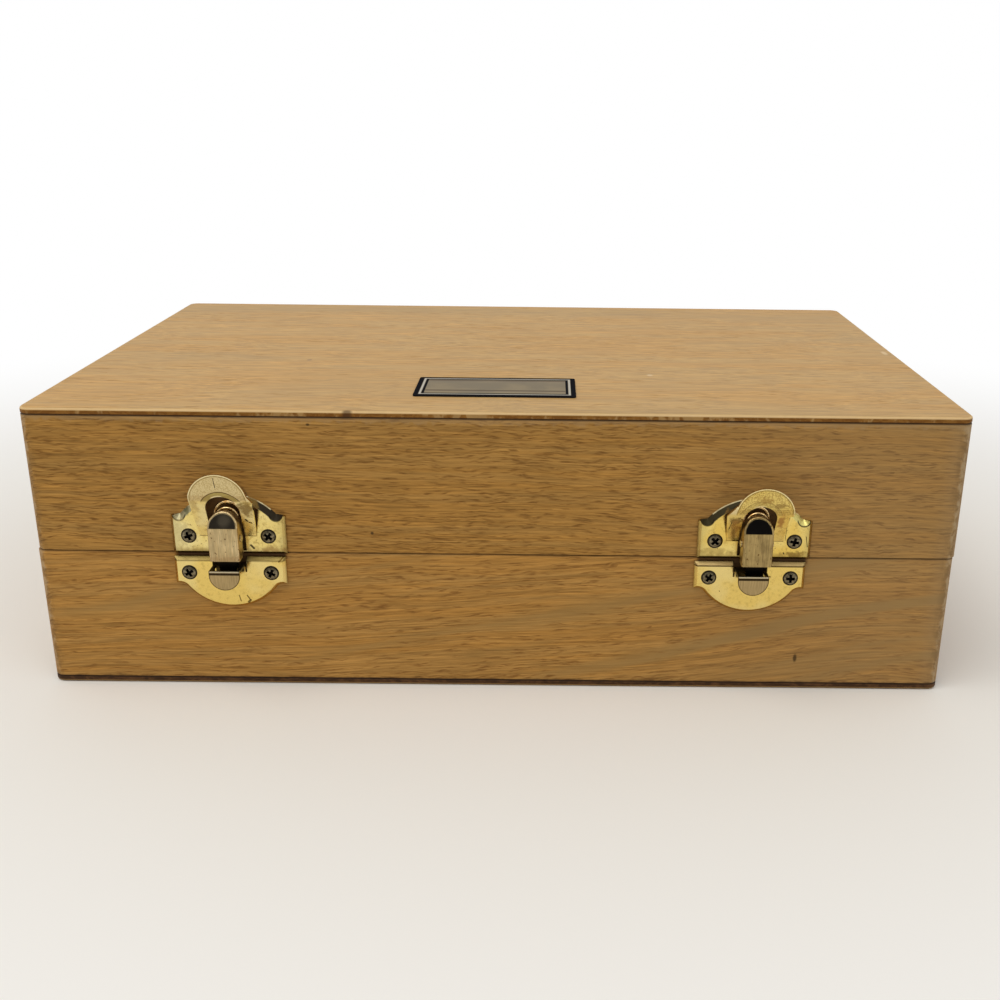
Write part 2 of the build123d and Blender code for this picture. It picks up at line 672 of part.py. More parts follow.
def hinge_leaf(which):
    """Half of a hinge at X = 0: a plate on the back with knuckles about the pin."""
    up = 1 if which == "lid" else -1
    pitch = HINGE_WIDTH / KNUCKLES
    near, far = LEAF_RELIEF, LEAF_HEIGHT
    flat = Pos(0, SEAM_Z + up * (near + far) / 2) * Rectangle(HINGE_WIDTH, far - near)
    outer = flat.vertices().sort_by(Axis.Y)[2:] if up > 0 else flat.vertices().sort_by(Axis.Y)[:2]
    leaf = extrude(BACK * fillet(outer, LEAF_CORNER_R), LEAF_THICK)
    axis = Pos(0, BACK_Y + KNUCKLE_STANDOFF, SEAM_Z) * Rot(0, 90, 0)
    first = 1 if which == "lid" else 0
    for i in range(first, KNUCKLES, 2):
        x = (i - (KNUCKLES - 1) / 2) * pitch
        half = (pitch - KNUCKLE_GAP) / 2
        z = sorted((SEAM_Z, SEAM_Z + up * (near + LEAF_OVERLAP)))
        leaf += block((x - half, x + half), (BACK_Y, BACK_Y + LEAF_THICK), z)
        leaf += axis * Pos(0, 0, x) * Cylinder(KNUCKLE_R, 2 * half)
    bore_r = HINGE_PIN_R + (HINGE_PIN_CLEARANCE if which == "lid" else 0)
    leaf -= axis * Cylinder(bore_r, HINGE_WIDTH + 2 * PAST)
    return leaf - seats(BACK, hinge_places(0, up), LEAF_THICK)


def hinge_places(x, up):
    """Screw places of one leaf, in the back plane's own (x, z)."""
    return pair_of_places(-x, HINGE_SCREW_X, SEAM_Z + up * HINGE_SCREW_DROP)


def hinge_pin():
    """Pin with a domed head at each end."""
    axis = Pos(0, BACK_Y + KNUCKLE_STANDOFF, SEAM_Z) * Rot(0, 90, 0)
    pin = axis * Cylinder(HINGE_PIN_R, HINGE_WIDTH)
    for x in (-1, 1):
        head = Cylinder(HINGE_PIN_HEAD_R, HINGE_PIN_HEAD)
        head = chamfer(head.faces().sort_by(Axis.Z)[-1].edges(), HINGE_PIN_HEAD / 2)
        turned = Rot(0, 90 * x, 0) * Pos(0, 0, (HINGE_WIDTH + HINGE_PIN_HEAD) / 2) * head
        pin += Pos(0, BACK_Y + KNUCKLE_STANDOFF, SEAM_Z) * turned
    return pin


def drilled(board, plane, places):
    for place in places:
        board -= pilots(plane, [place])
    return board


os.makedirs("parts", exist_ok=True)
nodes = {}

latch_places = []
keeper_places = []
lid_hinge_places = []
base_hinge_places = []
for side in ("left", "right"):
    latch_places += pair_of_places(LATCH_X[side], PLATE_SCREW_X, PLATE_SCREW_Z)
    keeper_places += pair_of_places(KEEPER_X[side], KEEPER_SCREW_X, KEEPER_SCREW_Z)
    lid_hinge_places += hinge_places(HINGE_X[side], 1)
    base_hinge_places += hinge_places(HINGE_X[side], -1)

base = boards(PANEL, SEAM_Z - SEAM_GAP / 2)
base["front"] = drilled(base["front"], FRONT, keeper_places)
base["back"] = drilled(base["back"], BACK, base_hinge_places)
lid = boards(SEAM_Z + SEAM_GAP / 2, HEIGHT - PANEL)
for name in lid:
    lid[name] = Pos(LID_SHIFT, 0, 0) * lid[name]
lid["front"] = drilled(lid["front"], FRONT, latch_places)
lid["back"] = drilled(lid["back"], BACK, lid_hinge_places)
for name in base:
    nodes["base_" + name + "_board"] = base[name]
    nodes["lid_" + name + "_board"] = lid[name]
nodes["bottom_panel"] = panel(0, True)
nodes["top_panel"] = Pos(LID_SHIFT, 0, 0) * panel(HEIGHT - PANEL, False)
nodes["base_foam_tray"] = foam_tray()
nodes["lid_foam_pad"] = Pos(LID_SHIFT, 0, 0) * foam_pad()
nodes["label_plate"] = label_plate()

for number, side in enumerate(("left", "right")):
    turn = 20 + 25 * number
    at_latch = Pos(LATCH_X[side], 0, 0)
    at_keeper = Pos(KEEPER_X[side], 0, 0)
    at_hinge = Pos(HINGE_X[side], 0, 0)
    nodes[side + "_latch_plate"] = at_latch * catch_plate(side)
    nodes[side + "_latch_lever"] = at_latch * lever()
    nodes[side + "_latch_pin"] = at_latch * catch_pin()
    nodes[side + "_latch_spring"] = at_latch * spring()
    nodes[side + "_keeper_plate"] = at_keeper * keeper_plate()
    places = pair_of_places(LATCH_X[side], PLATE_SCREW_X, PLATE_SCREW_Z)
    nodes[side + "_latch_plate_screws"] = screws(FRONT, places, PLATE_PROUD, turn)
    places = pair_of_places(KEEPER_X[side], KEEPER_SCREW_X, KEEPER_SCREW_Z)
    nodes[side + "_keeper_screws"] = screws(FRONT, places, PLATE_PROUD, turn + 11)
    for which, up in (("lid", 1), ("base", -1)):
        nodes[side + "_hinge_" + which + "_leaf"] = at_hinge * hinge_leaf(which)
        places = hinge_places(HINGE_X[side], up)
        nodes[side + "_hinge_" + which + "_screws"] = screws(BACK, places, LEAF_THICK, turn + 20 * up)
    nodes[side + "_hinge_pin"] = at_hinge * hinge_pin()

print("least gap between turns of a catch spring:", round(spring_gap(), 3), "mm")
for name, solid in nodes.items():
    export_step(solid, "parts/" + name + ".step")
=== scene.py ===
import math

import bmesh
import bpy
from mathutils import Matrix, Vector, noise as vnoise


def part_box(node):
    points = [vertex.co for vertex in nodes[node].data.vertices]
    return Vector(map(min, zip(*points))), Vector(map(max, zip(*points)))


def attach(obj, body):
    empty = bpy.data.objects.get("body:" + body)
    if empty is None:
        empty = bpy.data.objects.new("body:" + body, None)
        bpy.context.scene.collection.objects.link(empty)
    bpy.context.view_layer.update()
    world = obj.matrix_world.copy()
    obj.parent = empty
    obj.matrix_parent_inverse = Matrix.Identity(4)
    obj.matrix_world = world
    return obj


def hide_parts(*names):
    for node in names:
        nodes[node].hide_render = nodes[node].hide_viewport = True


# The looks of a hinged wooden case with two sprung brass catches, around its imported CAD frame.
# The case stands on z = 0 with its front at -y. Materials and named sizes are in millimetres.
# Meshes, the camera and the lamps are in metres.

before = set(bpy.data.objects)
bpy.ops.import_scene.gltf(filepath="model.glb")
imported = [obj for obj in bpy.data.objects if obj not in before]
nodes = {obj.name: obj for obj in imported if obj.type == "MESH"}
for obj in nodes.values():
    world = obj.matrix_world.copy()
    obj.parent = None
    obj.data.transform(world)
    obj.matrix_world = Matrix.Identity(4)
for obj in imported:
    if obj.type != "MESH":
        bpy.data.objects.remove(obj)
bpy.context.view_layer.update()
MM = 0.001

DEPTH = 150.0
HEIGHT = 76.6
SEAM_Z = 38.3
PANEL = 1.7
FRONT_Y = -DEPTH / 2
SIDES = ("left", "right")

# catch plate and its lift tab
PLATE_HALF = 14.7
CREASE_Z = 43.4
SHOULDER_R = 14.8
SHOULDER_Z = 38.4
SHOULDER_SLOPE = 0.869
GROOVE_X = 12.45
GROOVE_Z = 49.2
GROOVE_R = 1.7
TAB_R = 7.4
TAB_Z = {"left": 54.8, "right": 52.6}
TAB_SHIFT = {"left": -0.3, "right": 1.05}
WINDOW_HALF = 4.3
WINDOW_SHIFT = {"left": 0.3, "right": 0.1}
WINDOW_DROP = {"left": 2.8, "right": 1.7}

# keeper and lever
LEDGE_Z = 35.8
LIP_LOW_Z = 30.6
LIP_HALF = 3.95
LEVER_HALF = 3.85
LEVER_LOW_Z = 38.4
LEVER_CREASE_Z = 47.3

# screw heads
HEAD_R = 2.0
HEAD_LOW_PROUD = 2.05
HEAD_DOME = 0.1375


class Tree:
    """A material's node tree with short calls for its nodes. Positions are in millimetres."""

    def __init__(self, name):
        self.material = bpy.data.materials.new(name)
        self.material.use_nodes = True
        self.tree = self.material.node_tree
        self.bsdf = self.tree.nodes["Principled BSDF"]
        coords = self.node("ShaderNodeTexCoord").outputs["Object"]
        self.place = self.scale(coords, (1 / MM, 1 / MM, 1 / MM))
        self.x, self.y, self.z = self.split(self.place)

    def node(self, kind, inputs=None, **settings):
        """New node, with its inputs by name or number."""
        new = self.tree.nodes.new(kind)
        for key, value in settings.items():
            setattr(new, key, value)
        for key, value in (inputs or {}).items():
            self.put(new.inputs[key], value)
        return new

    def put(self, socket, value):
        """Links a socket into an input, or gives the input a fixed value."""
        if isinstance(value, bpy.types.NodeSocket):
            self.tree.links.new(value, socket)
        else:
            socket.default_value = value

    def set(self, **values):
        """Inputs of the surface shader, with _ for a space."""
        for key, value in values.items():
            self.put(self.bsdf.inputs[key.replace("_", " ")], value)

    def split(self, vector):
        return self.node("ShaderNodeSeparateXYZ", {0: vector}).outputs

    def join(self, x, y, z):
        return self.node("ShaderNodeCombineXYZ", {0: x, 1: y, 2: z}).outputs[0]

    def scale(self, vector, by):
        return self.node("ShaderNodeVectorMath", {0: vector, 1: by}, operation="MULTIPLY").outputs[0]

    def shift(self, vector, by):
        return self.node("ShaderNodeVectorMath", {0: vector, 1: by}, operation="ADD").outputs[0]

    def math(self, operation, a, b=0.0, c=0.0, clamp=False):
        new = self.node("ShaderNodeMath", {0: a, 1: b, 2: c}, operation=operation, use_clamp=clamp)
        return new.outputs[0]

    def noise(self, vector, detail=2.0, roughness=0.5, distortion=0.0):
        """Noise around 0.5, one feature per unit of the vector."""
        inputs = {"Vector": vector, "Scale": 1.0, "Detail": detail, "Roughness": roughness}
        inputs["Distortion"] = distortion
        return self.node("ShaderNodeTexNoise", inputs).outputs["Fac"]

    def even_noise(self, scale, *settings):
        """Noise with the same scale in all directions, in features per millimetre."""
        return self.noise(self.scale(self.place, (scale, scale, scale)), *settings)

    def cells(self, vector, dimensions="3D"):
        """Distance to the nearest random point, and a random value of that point."""
        new = self.node("ShaderNodeTexVoronoi", {}, feature="F1", voronoi_dimensions=dimensions)
        self.put(new.inputs["Vector"], vector)
        self.put(new.inputs["Scale"], 1.0)
        return new.outputs["Distance"], self.split(new.outputs["Color"])[0]

    def step(self, value, low, high):
        """Smooth step from 0 at low to 1 at high. It falls where low is above high."""
        flip = low > high
        inputs = {"Value": value, "From Min": min(low, high), "From Max": max(low, high)}
        inputs["To Min"] = 1.0 if flip else 0.0
        inputs["To Max"] = 0.0 if flip else 1.0
        return self.node("ShaderNodeMapRange", inputs, interpolation_type="SMOOTHSTEP").outputs[0]

    def span(self, value, low, high):
        """Linear map of 0 to 1 onto low to high."""
        return self.math("MULTIPLY_ADD", value, high - low, low)

    def mix(self, share, a, b, blend="MIX"):
        new = self.node("ShaderNodeMix", {0: share, 6: a, 7: b}, data_type="RGBA", blend_type=blend)
        return new.outputs[2]

    def bump(self, height, strength, distance, normal=None):
        inputs = {"Height": height, "Strength": strength, "Distance": distance * MM}
        if normal is not None:
            inputs["Normal"] = normal
        return self.node("ShaderNodeBump", inputs).outputs[0]

    def plus(self, a, b):
        return self.math("ADD", a, b)

    def minus(self, a, b):
        return self.math("SUBTRACT", a, b)

    def times(self, *values):
        product = values[0]
        for value in values[1:]:
            product = self.math("MULTIPLY", product, value)
        return product

    def most(self, *values):
        top = values[0]
        for value in values[1:]:
            top = self.math("MAXIMUM", top, value)
        return top

    def off(self, value, middle):
        """Distance of a value from the middle."""
        return self.math("ABSOLUTE", self.minus(value, middle))

    def band(self, value, middle, half, soft=0.08):
        """1 within half of the middle, falling to 0 over soft."""
        return self.step(self.off(value, middle), half + soft, half)

    def hypotenuse(self, a, b):
        return self.math("SQRT", self.plus(self.times(a, a), self.times(b, b)))

    def from_point(self, x, z):
        """Distance from a point in the front view."""
        return self.hypotenuse(self.minus(self.x, x), self.minus(self.z, z))

    def over(self, colour, shade, *shares):
        """The colour with a shade laid over it, as strong as all the shares multiplied."""
        return self.mix(self.times(*shares), colour, shade)

    def tinted(self, colour, tone):
        """The colour made lighter or darker by a tone around 1."""
        return self.mix(1.0, colour, self.join(tone, tone, tone), "MULTIPLY")


def rgb(r, g, b):
    return (r, g, b, 1.0)


def corners(node):
    """Low and high corner of a node's box in millimetres."""
    return [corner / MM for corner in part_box(node)]


# a look has the share of grey in the smooth bands and how calm they are, the contrast of streaks and hairs,
# the strength and number of the ticks, each kind of tick's length, height and lean, and the grain's warp
LID_WOOD = {
    "plain": rgb(0.372, 0.194, 0.047), "warm": rgb(0.375, 0.186, 0.040),
    "grey": rgb(0.335, 0.184, 0.048),
    "grey_share": 0.5, "calm": 0.2, "streaks": 0.80, "hairs": 0.60,
    "pore": rgb(0.150, 0.062, 0.012), "pore_share": 0.80, "pores": 0.66, "pores_off": 0.10,
    "ticks": ((8.0, 0.74, 0.41), (5.4, 0.62, -0.33), (11.0, 0.82, 0.23)), "warp": 5.0,
}
BASE_WOOD = {
    "plain": rgb(0.402, 0.210, 0.053), "warm": rgb(0.407, 0.200, 0.044),
    "grey": rgb(0.325, 0.190, 0.058),
    "grey_share": 0.85, "calm": 0.75, "streaks": 0.85, "hairs": 0.50,
    "pore": rgb(0.170, 0.068, 0.014), "pore_share": 0.75, "pores": 0.56, "pores_off": 0.45,
    "ticks": ((8.5, 0.80, 0.41), (5.6, 0.64, -0.33), (12.0, 0.90, 0.23)), "warp": 7.0,
}
TOP_WOOD = {
    "plain": rgb(0.500, 0.312, 0.122), "warm": rgb(0.512, 0.298, 0.102),
    "grey": rgb(0.435, 0.280, 0.116),
    "grey_share": 0.8, "calm": 0.3, "streaks": 0.50, "hairs": 0.32,
    "pore": rgb(0.300, 0.155, 0.045), "pore_share": 0.50, "pores": 0.36, "pores_off": 0.3,
    "ticks": ((7.0, 1.5, 0.41), (5.0, 1.1, -0.33), (10.0, 1.9, 0.23)), "warp": 14.0,
}
# dirt in the joints, rubbed corners, darkening low down, and painted shade on the wood behind a catch
DIRT = rgb(0.035, 0.018, 0.010)
WORN = rgb(0.44, 0.33, 0.19)
LOW_DARK = rgb(0.045, 0.022, 0.010)
SHADE_BEHIND = rgb(0.050, 0.024, 0.010)
FRAME_ROUGH = 0.46
PANEL_ROUGH = 0.50

# slope of the grain, height and width of its swelling at SWELL_X, and the growth bands' extra slope
SWELL_X = 100.0
LEVEL = (0.0, 0.0, 1.0, 0.0)
LID_RISE = (-0.012, 0.0, 1.0, 0.03)
BASE_RISE = (0.04, 5.0, 48.0, 0.17)
# middle and radii of small dark marks in the front boards
FRONT_MARKS = {
    "base": (((80.3, 9.2), (0.55, 1.25)),),
    "lid": (((-32.0, 44.0), (0.45, 0.45)), ((-47.0, 73.0), (0.5, 0.35))),
}


def wood(name, look, along, seed, rise=LEVEL):
    """Board with its grain along one axis: growth bands, fine streaks and pores that show as ticks."""
    t = Tree(name)
    u, w = (t.x, t.y) if along == "X" else (t.y, t.x)
    slant, swell, swell_width, band_slant = rise
    away = t.times(t.minus(u, SWELL_X), 1 / swell_width)
    hump = t.math("EXPONENT", t.times(away, away, -1.0))
    lift = t.plus(t.times(hump, swell), t.times(u, slant))
    grain = t.shift(t.join(u, w, t.minus(t.z, lift)), (seed * 37.0, seed * 11.0, seed * 17.0))
    warp = t.noise(t.scale(grain, (0.012, 0.02, 0.045)), 2.0)
    gu, gw, gz = t.split(grain)
    gz = t.plus(gz, t.times(t.minus(warp, 0.5), look["warp"]))
    ring = t.join(gu, gw, gz)
    steep = t.join(gu, gw, t.math("MULTIPLY_ADD", u, -band_slant, gz))
    broad = t.noise(t.scale(steep, (0.0045, 0.03, 0.11)), 2.0)
    bands = t.noise(t.scale(ring, (0.007, 0.10, 0.36)), 3.0, 0.6)
    streaks = t.noise(t.scale(ring, (0.050, 0.9, 1.9)), 4.0, 0.66)
    hairs = t.noise(t.scale(ring, (0.14, 3.0, 4.6)), 3.0, 0.65)
    colour = t.mix(t.step(bands, 0.38, 0.62), look["plain"], look["warm"])
    smooth = t.step(broad, 0.55, 0.72)
    colour = t.over(colour, look["grey"], smooth, look["grey_share"])
    calm = t.minus(1.0, t.times(smooth, look["calm"]))
    streaky = t.span(streaks, -look["streaks"], look["streaks"])
    uneven = t.plus(streaky, t.span(hairs, -look["hairs"], look["hairs"]))
    colour = t.tinted(colour, t.math("MULTIPLY_ADD", uneven, calm, 1.0))
    clump = t.noise(t.scale(ring, (0.015, 0.15, 0.24)), 2.0)
    few = t.times(smooth, look["pores_off"])
    # the ticks are a flat pattern that slants through the board, so every face of it is cut by them
    wave = t.noise(t.scale(ring, (0.13, 0.4, 0.40)), 2.0)
    level = t.plus(t.math("MULTIPLY_ADD", gw, 1.3, gz), t.span(wave, -1.3, 1.3))
    marks = None
    for k, (length, height, lean) in enumerate(look["ticks"]):
        row = t.times(level, 1 / height)
        place = t.join(t.math("MULTIPLY_ADD", row, lean, t.times(gu, 1 / length)), row, 0.0)
        distance, chance = t.cells(t.shift(place, (k * 5.3, k * 3.1, 0.0)), "2D")
        often = t.minus(t.plus(chance, t.span(clump, -0.6, 0.6)), few)
        shown = t.step(often, 1.0 - look["pores"], 1.45 - look["pores"])
        mark = t.times(t.step(distance, 0.40, 0.10), shown)
        marks = mark if marks is None else t.most(marks, mark)
    breaks = t.step(t.noise(t.scale(ring, (0.33, 2.0, 2.8)), 2.0), 0.32, 0.60)
    marks = t.times(marks, breaks)
    colour = t.over(colour, look["pore"], marks, look["pore_share"])
    return t, colour, marks, streaks


def finish_wood(t, colour, marks, streaks, rough):
    """Relief and gloss of a board whose colour is done."""
    height = t.plus(t.times(streaks, 0.35), t.times(marks, -1.0))
    t.set(Base_Color=colour, Normal=t.bump(height, 0.35, 0.08))
    t.set(Roughness=t.plus(t.span(streaks, rough - 0.05, rough + 0.07), t.times(marks, 0.2)))
    t.set(Specular_IOR_Level=0.1)
    return t.material


def spot(t, colour, middle, radii, shade, strength, axes="xz", ragged=0.0):
    """Small round mark on a face, seen along one axis."""
    first = t.times(t.minus(t.x, middle[0]), 1 / radii[0])
    along = t.z if axes == "xz" else t.y
    second = t.times(t.minus(along, middle[1]), 1 / radii[1])
    far = t.plus(t.hypotenuse(first, second), ragged)
    return t.over(colour, shade, t.step(far, 1.3, 0.45), strength)


def stroke(t, colour, centre, start, end, half, shade):
    """Thin straight mark on a front face. The x of its ends is from the centre."""
    run = (end[0] - start[0], end[1] - start[1])
    square = run[0] ** 2 + run[1] ** 2
    dx = t.minus(t.x, centre + start[0])
    dz = t.minus(t.z, start[1])
    along = t.math("MULTIPLY_ADD", dx, run[0] / square, t.times(dz, run[1] / square), clamp=True)
    aside = t.math("MULTIPLY_ADD", along, -run[0], dx)
    away = t.hypotenuse(aside, t.math("MULTIPLY_ADD", along, -run[1], dz))
    return t.over(colour, shade, t.step(away, half * 1.3, half * 0.7), 0.9)


def shade_behind_catches(t, colour):
    """Painted shade on the wood behind the catches' windows and slots, and in the gap between their plates.
    """
    for side in SIDES:
        low, high = corners(side + "_latch_plate")
        centre = (low.x + high.x) / 2
        across = t.off(t.x, centre)
        gap = t.step(across, PLATE_HALF + 0.2, PLATE_HALF - 1.2)
        gap = t.times(gap, t.step(t.off(t.z, SEAM_Z - 0.3), 1.6, 0.9))
        slots = t.times(t.step(across, 9.4, 8.6), t.step(t.z, 34.0, 35.5), t.step(t.z, 51.0, 50.0))
        window = t.step(t.from_point(centre + TAB_SHIFT[side], TAB_Z[side] - 2.5), 6.4, 5.2)
        face = t.step(t.y, FRONT_Y + 0.5, FRONT_Y + 0.2)
        # painted shade, near black, on the wood behind the catch and in the gap under its plate
        colour = t.over(colour, SHADE_BEHIND, t.most(gap, slots, window), face, 0.88)
    return colour


# distances from the middle between which the rubbed and the dark patches of a corner fade in
CORNER_RUBBED = (117.6, 119.2)
CORNER_DARK = (115.5, 118.8)
CORNER_DEPTH = (DEPTH / 2 - 1.6, DEPTH / 2 - 0.4)
# distances from a joint between which its dirt fades in
SEAM_DIRT = (0.42, 0.12)
PANEL_DIRT = (0.5, 0.08)


def frame_wood(part, board, seed):
    """One board of the frame, with rubbed corners, dirt in the joints and a lower edge that is darker
    towards the bottom.
    """
    name = "wood_" + part + "_" + board
    look = LID_WOOD if part == "lid" else BASE_WOOD
    along = "X" if board in ("front", "back") else "Y"
    rise = LEVEL
    if board == "front":
        rise = LID_RISE if part == "lid" else BASE_RISE
    t, colour, marks, streaks = wood(name, look, along, seed, rise)
    flank = t.math("ABSOLUTE", t.x)
    rough_edge = t.noise(t.scale(t.place, (0.5, 0.5, 0.35)), 3.0, 0.6)
    reach = t.plus(flank, t.span(rough_edge, -1.6, 1.6))
    if along == "X":
        dull = t.plus(t.times(t.step(t.x, 20.0, 110.0), 0.30), t.times(t.step(t.x, 112.0, 118.5), 0.25))
        colour = t.over(colour, rgb(0.30, 0.200, 0.095), dull)
        rub_share = 0.6 if board == "front" else 0.3
        corner = t.step(t.math("ABSOLUTE", t.y), *CORNER_DEPTH)
        rubbed = t.times(t.step(reach, *CORNER_RUBBED), t.step(rough_edge, 0.36, 0.62), corner, rub_share)
        colour = t.over(colour, WORN, rubbed)
        dark = t.times(t.step(flank, *CORNER_DARK), t.step(rough_edge, 0.58, 0.40), corner, 0.40)
        colour = t.over(colour, rgb(0.13, 0.075, 0.030), dark)
    if name == "wood_lid_front":
        worn = t.plus(t.z, t.span(rough_edge, -1.6, 1.6))
        worn = t.step(worn, HEIGHT - PANEL - 1.7, HEIGHT - PANEL - 0.7)
        colour = t.over(colour, rgb(0.38, 0.260, 0.130), worn, 0.30)
    panel_z = HEIGHT - PANEL if part == "lid" else PANEL
    colour = t.over(colour, DIRT, t.step(t.off(t.z, SEAM_Z), *SEAM_DIRT), 0.45)
    colour = t.over(colour, DIRT, t.step(t.off(t.z, panel_z), *PANEL_DIRT), 0.85)
    if part == "base":
        # the base boards darker towards the bottom
        ragged = t.noise(t.scale(t.place, (0.35, 0.35, 1.2)), 3.0, 0.65)
        low = t.plus(t.z, t.span(ragged, -1.3, 1.3))
        colour = t.over(colour, LOW_DARK, t.step(low, 2.6, 1.2), 0.8)
    if board == "front":
        # painted shade on the wood behind the catches
        colour = shade_behind_catches(t, colour)
        for middle, radii in FRONT_MARKS[part]:
            colour = spot(t, colour, middle, radii, rgb(0.05, 0.028, 0.01), 0.85)
    return finish_wood(t, colour, marks, streaks, FRAME_ROUGH)


# stretches of the top's front edge with pale rubbed patches: middle and half length
RUBBED = ((-9.5, 6.0), (49.0, 10.0), (-52.0, 2.0))
# middle, radii and colour of small marks on the top: the nick in its front edge, dents and specks
TOP_MARKS = (
    ((-37.0, -75.0), (1.3, 0.9), rgb(0.05, 0.02, 0.008)),
    ((117.6, 0.0), (0.9, 2.6), rgb(0.72, 0.55, 0.32)),
    ((42.0, -33.0), (0.9, 1.1), rgb(0.68, 0.52, 0.32)),
    ((-57.5, -18.0), (0.8, 1.0), rgb(0.25, 0.16, 0.08)),
)


def panel_wood(name, seed, face_z, edge_z, top):
    """Thin board with fine grain and a dark edge, rubbed pale in places where it is the top one."""
    t, colour, marks, streaks = wood(name, TOP_WOOD, "X", seed)
    away = t.off(t.z, face_z)
    side = t.step(away, 0.40, 0.75)
    patchy = t.noise(t.scale(t.place, (0.42, 0.42, 0.9)), 3.0, 0.6, 0.6)
    joint = t.step(t.off(t.z, edge_z), 0.34, 0.05)
    if top:
        edge = t.mix(t.step(patchy, 0.42, 0.60), rgb(0.175, 0.068, 0.010), rgb(0.240, 0.104, 0.018))
        bits = t.noise(t.scale(t.place, (0.62, 0.62, 0.45)), 2.0, 0.5)
        spread = t.most(*[t.step(t.off(t.x, x), half + 6.0, half) for x, half in RUBBED])
        front = t.times(spread, t.step(t.y, -70.0, -74.0))
        pale = t.step(t.plus(bits, t.span(front, -0.10, 0.08)), 0.46, 0.66)
        edge = t.over(edge, rgb(0.50, 0.32, 0.12), pale, 0.50)
        colour = t.over(colour, edge, side)
        # pale rim on the rounded top edge: partly wear, partly a painted highlight where the rounding
        # catches the light
        rim = t.times(t.step(away, 0.02, 0.10), t.step(away, 0.62, 0.40))
        colour = t.over(colour, rgb(0.70, 0.49, 0.24), rim, t.span(patchy, 0.55, 1.0))
        for middle, radii, shade in TOP_MARKS:
            colour = spot(t, colour, middle, radii, shade, 0.7, "xy")
    else:
        edge = t.mix(t.step(patchy, 0.40, 0.66), rgb(0.050, 0.022, 0.008), rgb(0.110, 0.050, 0.018))
        colour = t.over(colour, edge, side)
        colour = t.over(colour, rgb(0.03, 0.015, 0.008), t.step(t.z, 0.9, 0.2), 0.6)
    colour = t.over(colour, DIRT, joint, 0.9)
    return finish_wood(t, colour, marks, streaks, PANEL_ROUGH)


KHAKI = rgb(0.36, 0.28, 0.10)
OLIVE = rgb(0.26, 0.17, 0.05)
# near black, for dark marks, painted shade and painted dark reflections
BLACK_MARKS_AND_SHADE = rgb(0.016, 0.010, 0.006)
# pale gold for painted highlights
PAINTED_HIGHLIGHT = rgb(0.86, 0.74, 0.42)


def brass(name, bright, pale, rough, specks, blotches=0.5):
    """Stamped, thinly plated brass: slow waves in the reflection, stains, specks and duller patches."""
    t = Tree(name)
    slow = t.even_noise(0.10, 2.0)
    fine = t.even_noise(0.9, 4.0, 0.62)
    grit = t.even_noise(2.4, 3.0, 0.55)
    colour = t.mix(t.step(slow, 0.40, 0.62), bright, pale)
    tarnish = t.times(t.step(fine, 0.48, 0.72), t.step(slow, 0.68, 0.38))
    colour = t.over(colour, rgb(0.34, 0.20, 0.05), tarnish, blotches)
    spots = t.times(t.step(grit, 0.72 - specks, 0.80 - specks), t.step(fine, 0.45, 0.58))
    colour = t.over(colour, rgb(0.07, 0.035, 0.012), spots, 0.85)
    roughness = t.plus(t.span(fine, rough - 0.05, rough + 0.12), t.times(spots, 0.3))
    waves = t.even_noise(0.28, 1.0)
    first = t.bump(waves, 0.45, 0.16)
    t.set(Metallic=1.0, Normal=t.bump(fine, 0.15, 0.02, first))
    t.set(Specular_IOR_Level=0.05)
    return t, colour, roughness


def front_view(t, node):
    """A node's corners and middle, the distance sideways from its middle, and how far a face stands out."""
    low, high = corners(node)
    centre = (low.x + high.x) / 2
    return low, high, centre, t.off(t.x, centre), t.minus(FRONT_Y, t.y)


def outline_of_plate(t, across, half, low, high):
    """1 close to the rectangular outline of a plate, 0 inside."""
    sides = t.step(across, half - 0.45, half - 0.05)
    ends = t.most(t.step(t.z, low + 0.45, low + 0.05), t.step(t.z, high - 0.45, high - 0.05))
    return t.most(sides, ends)
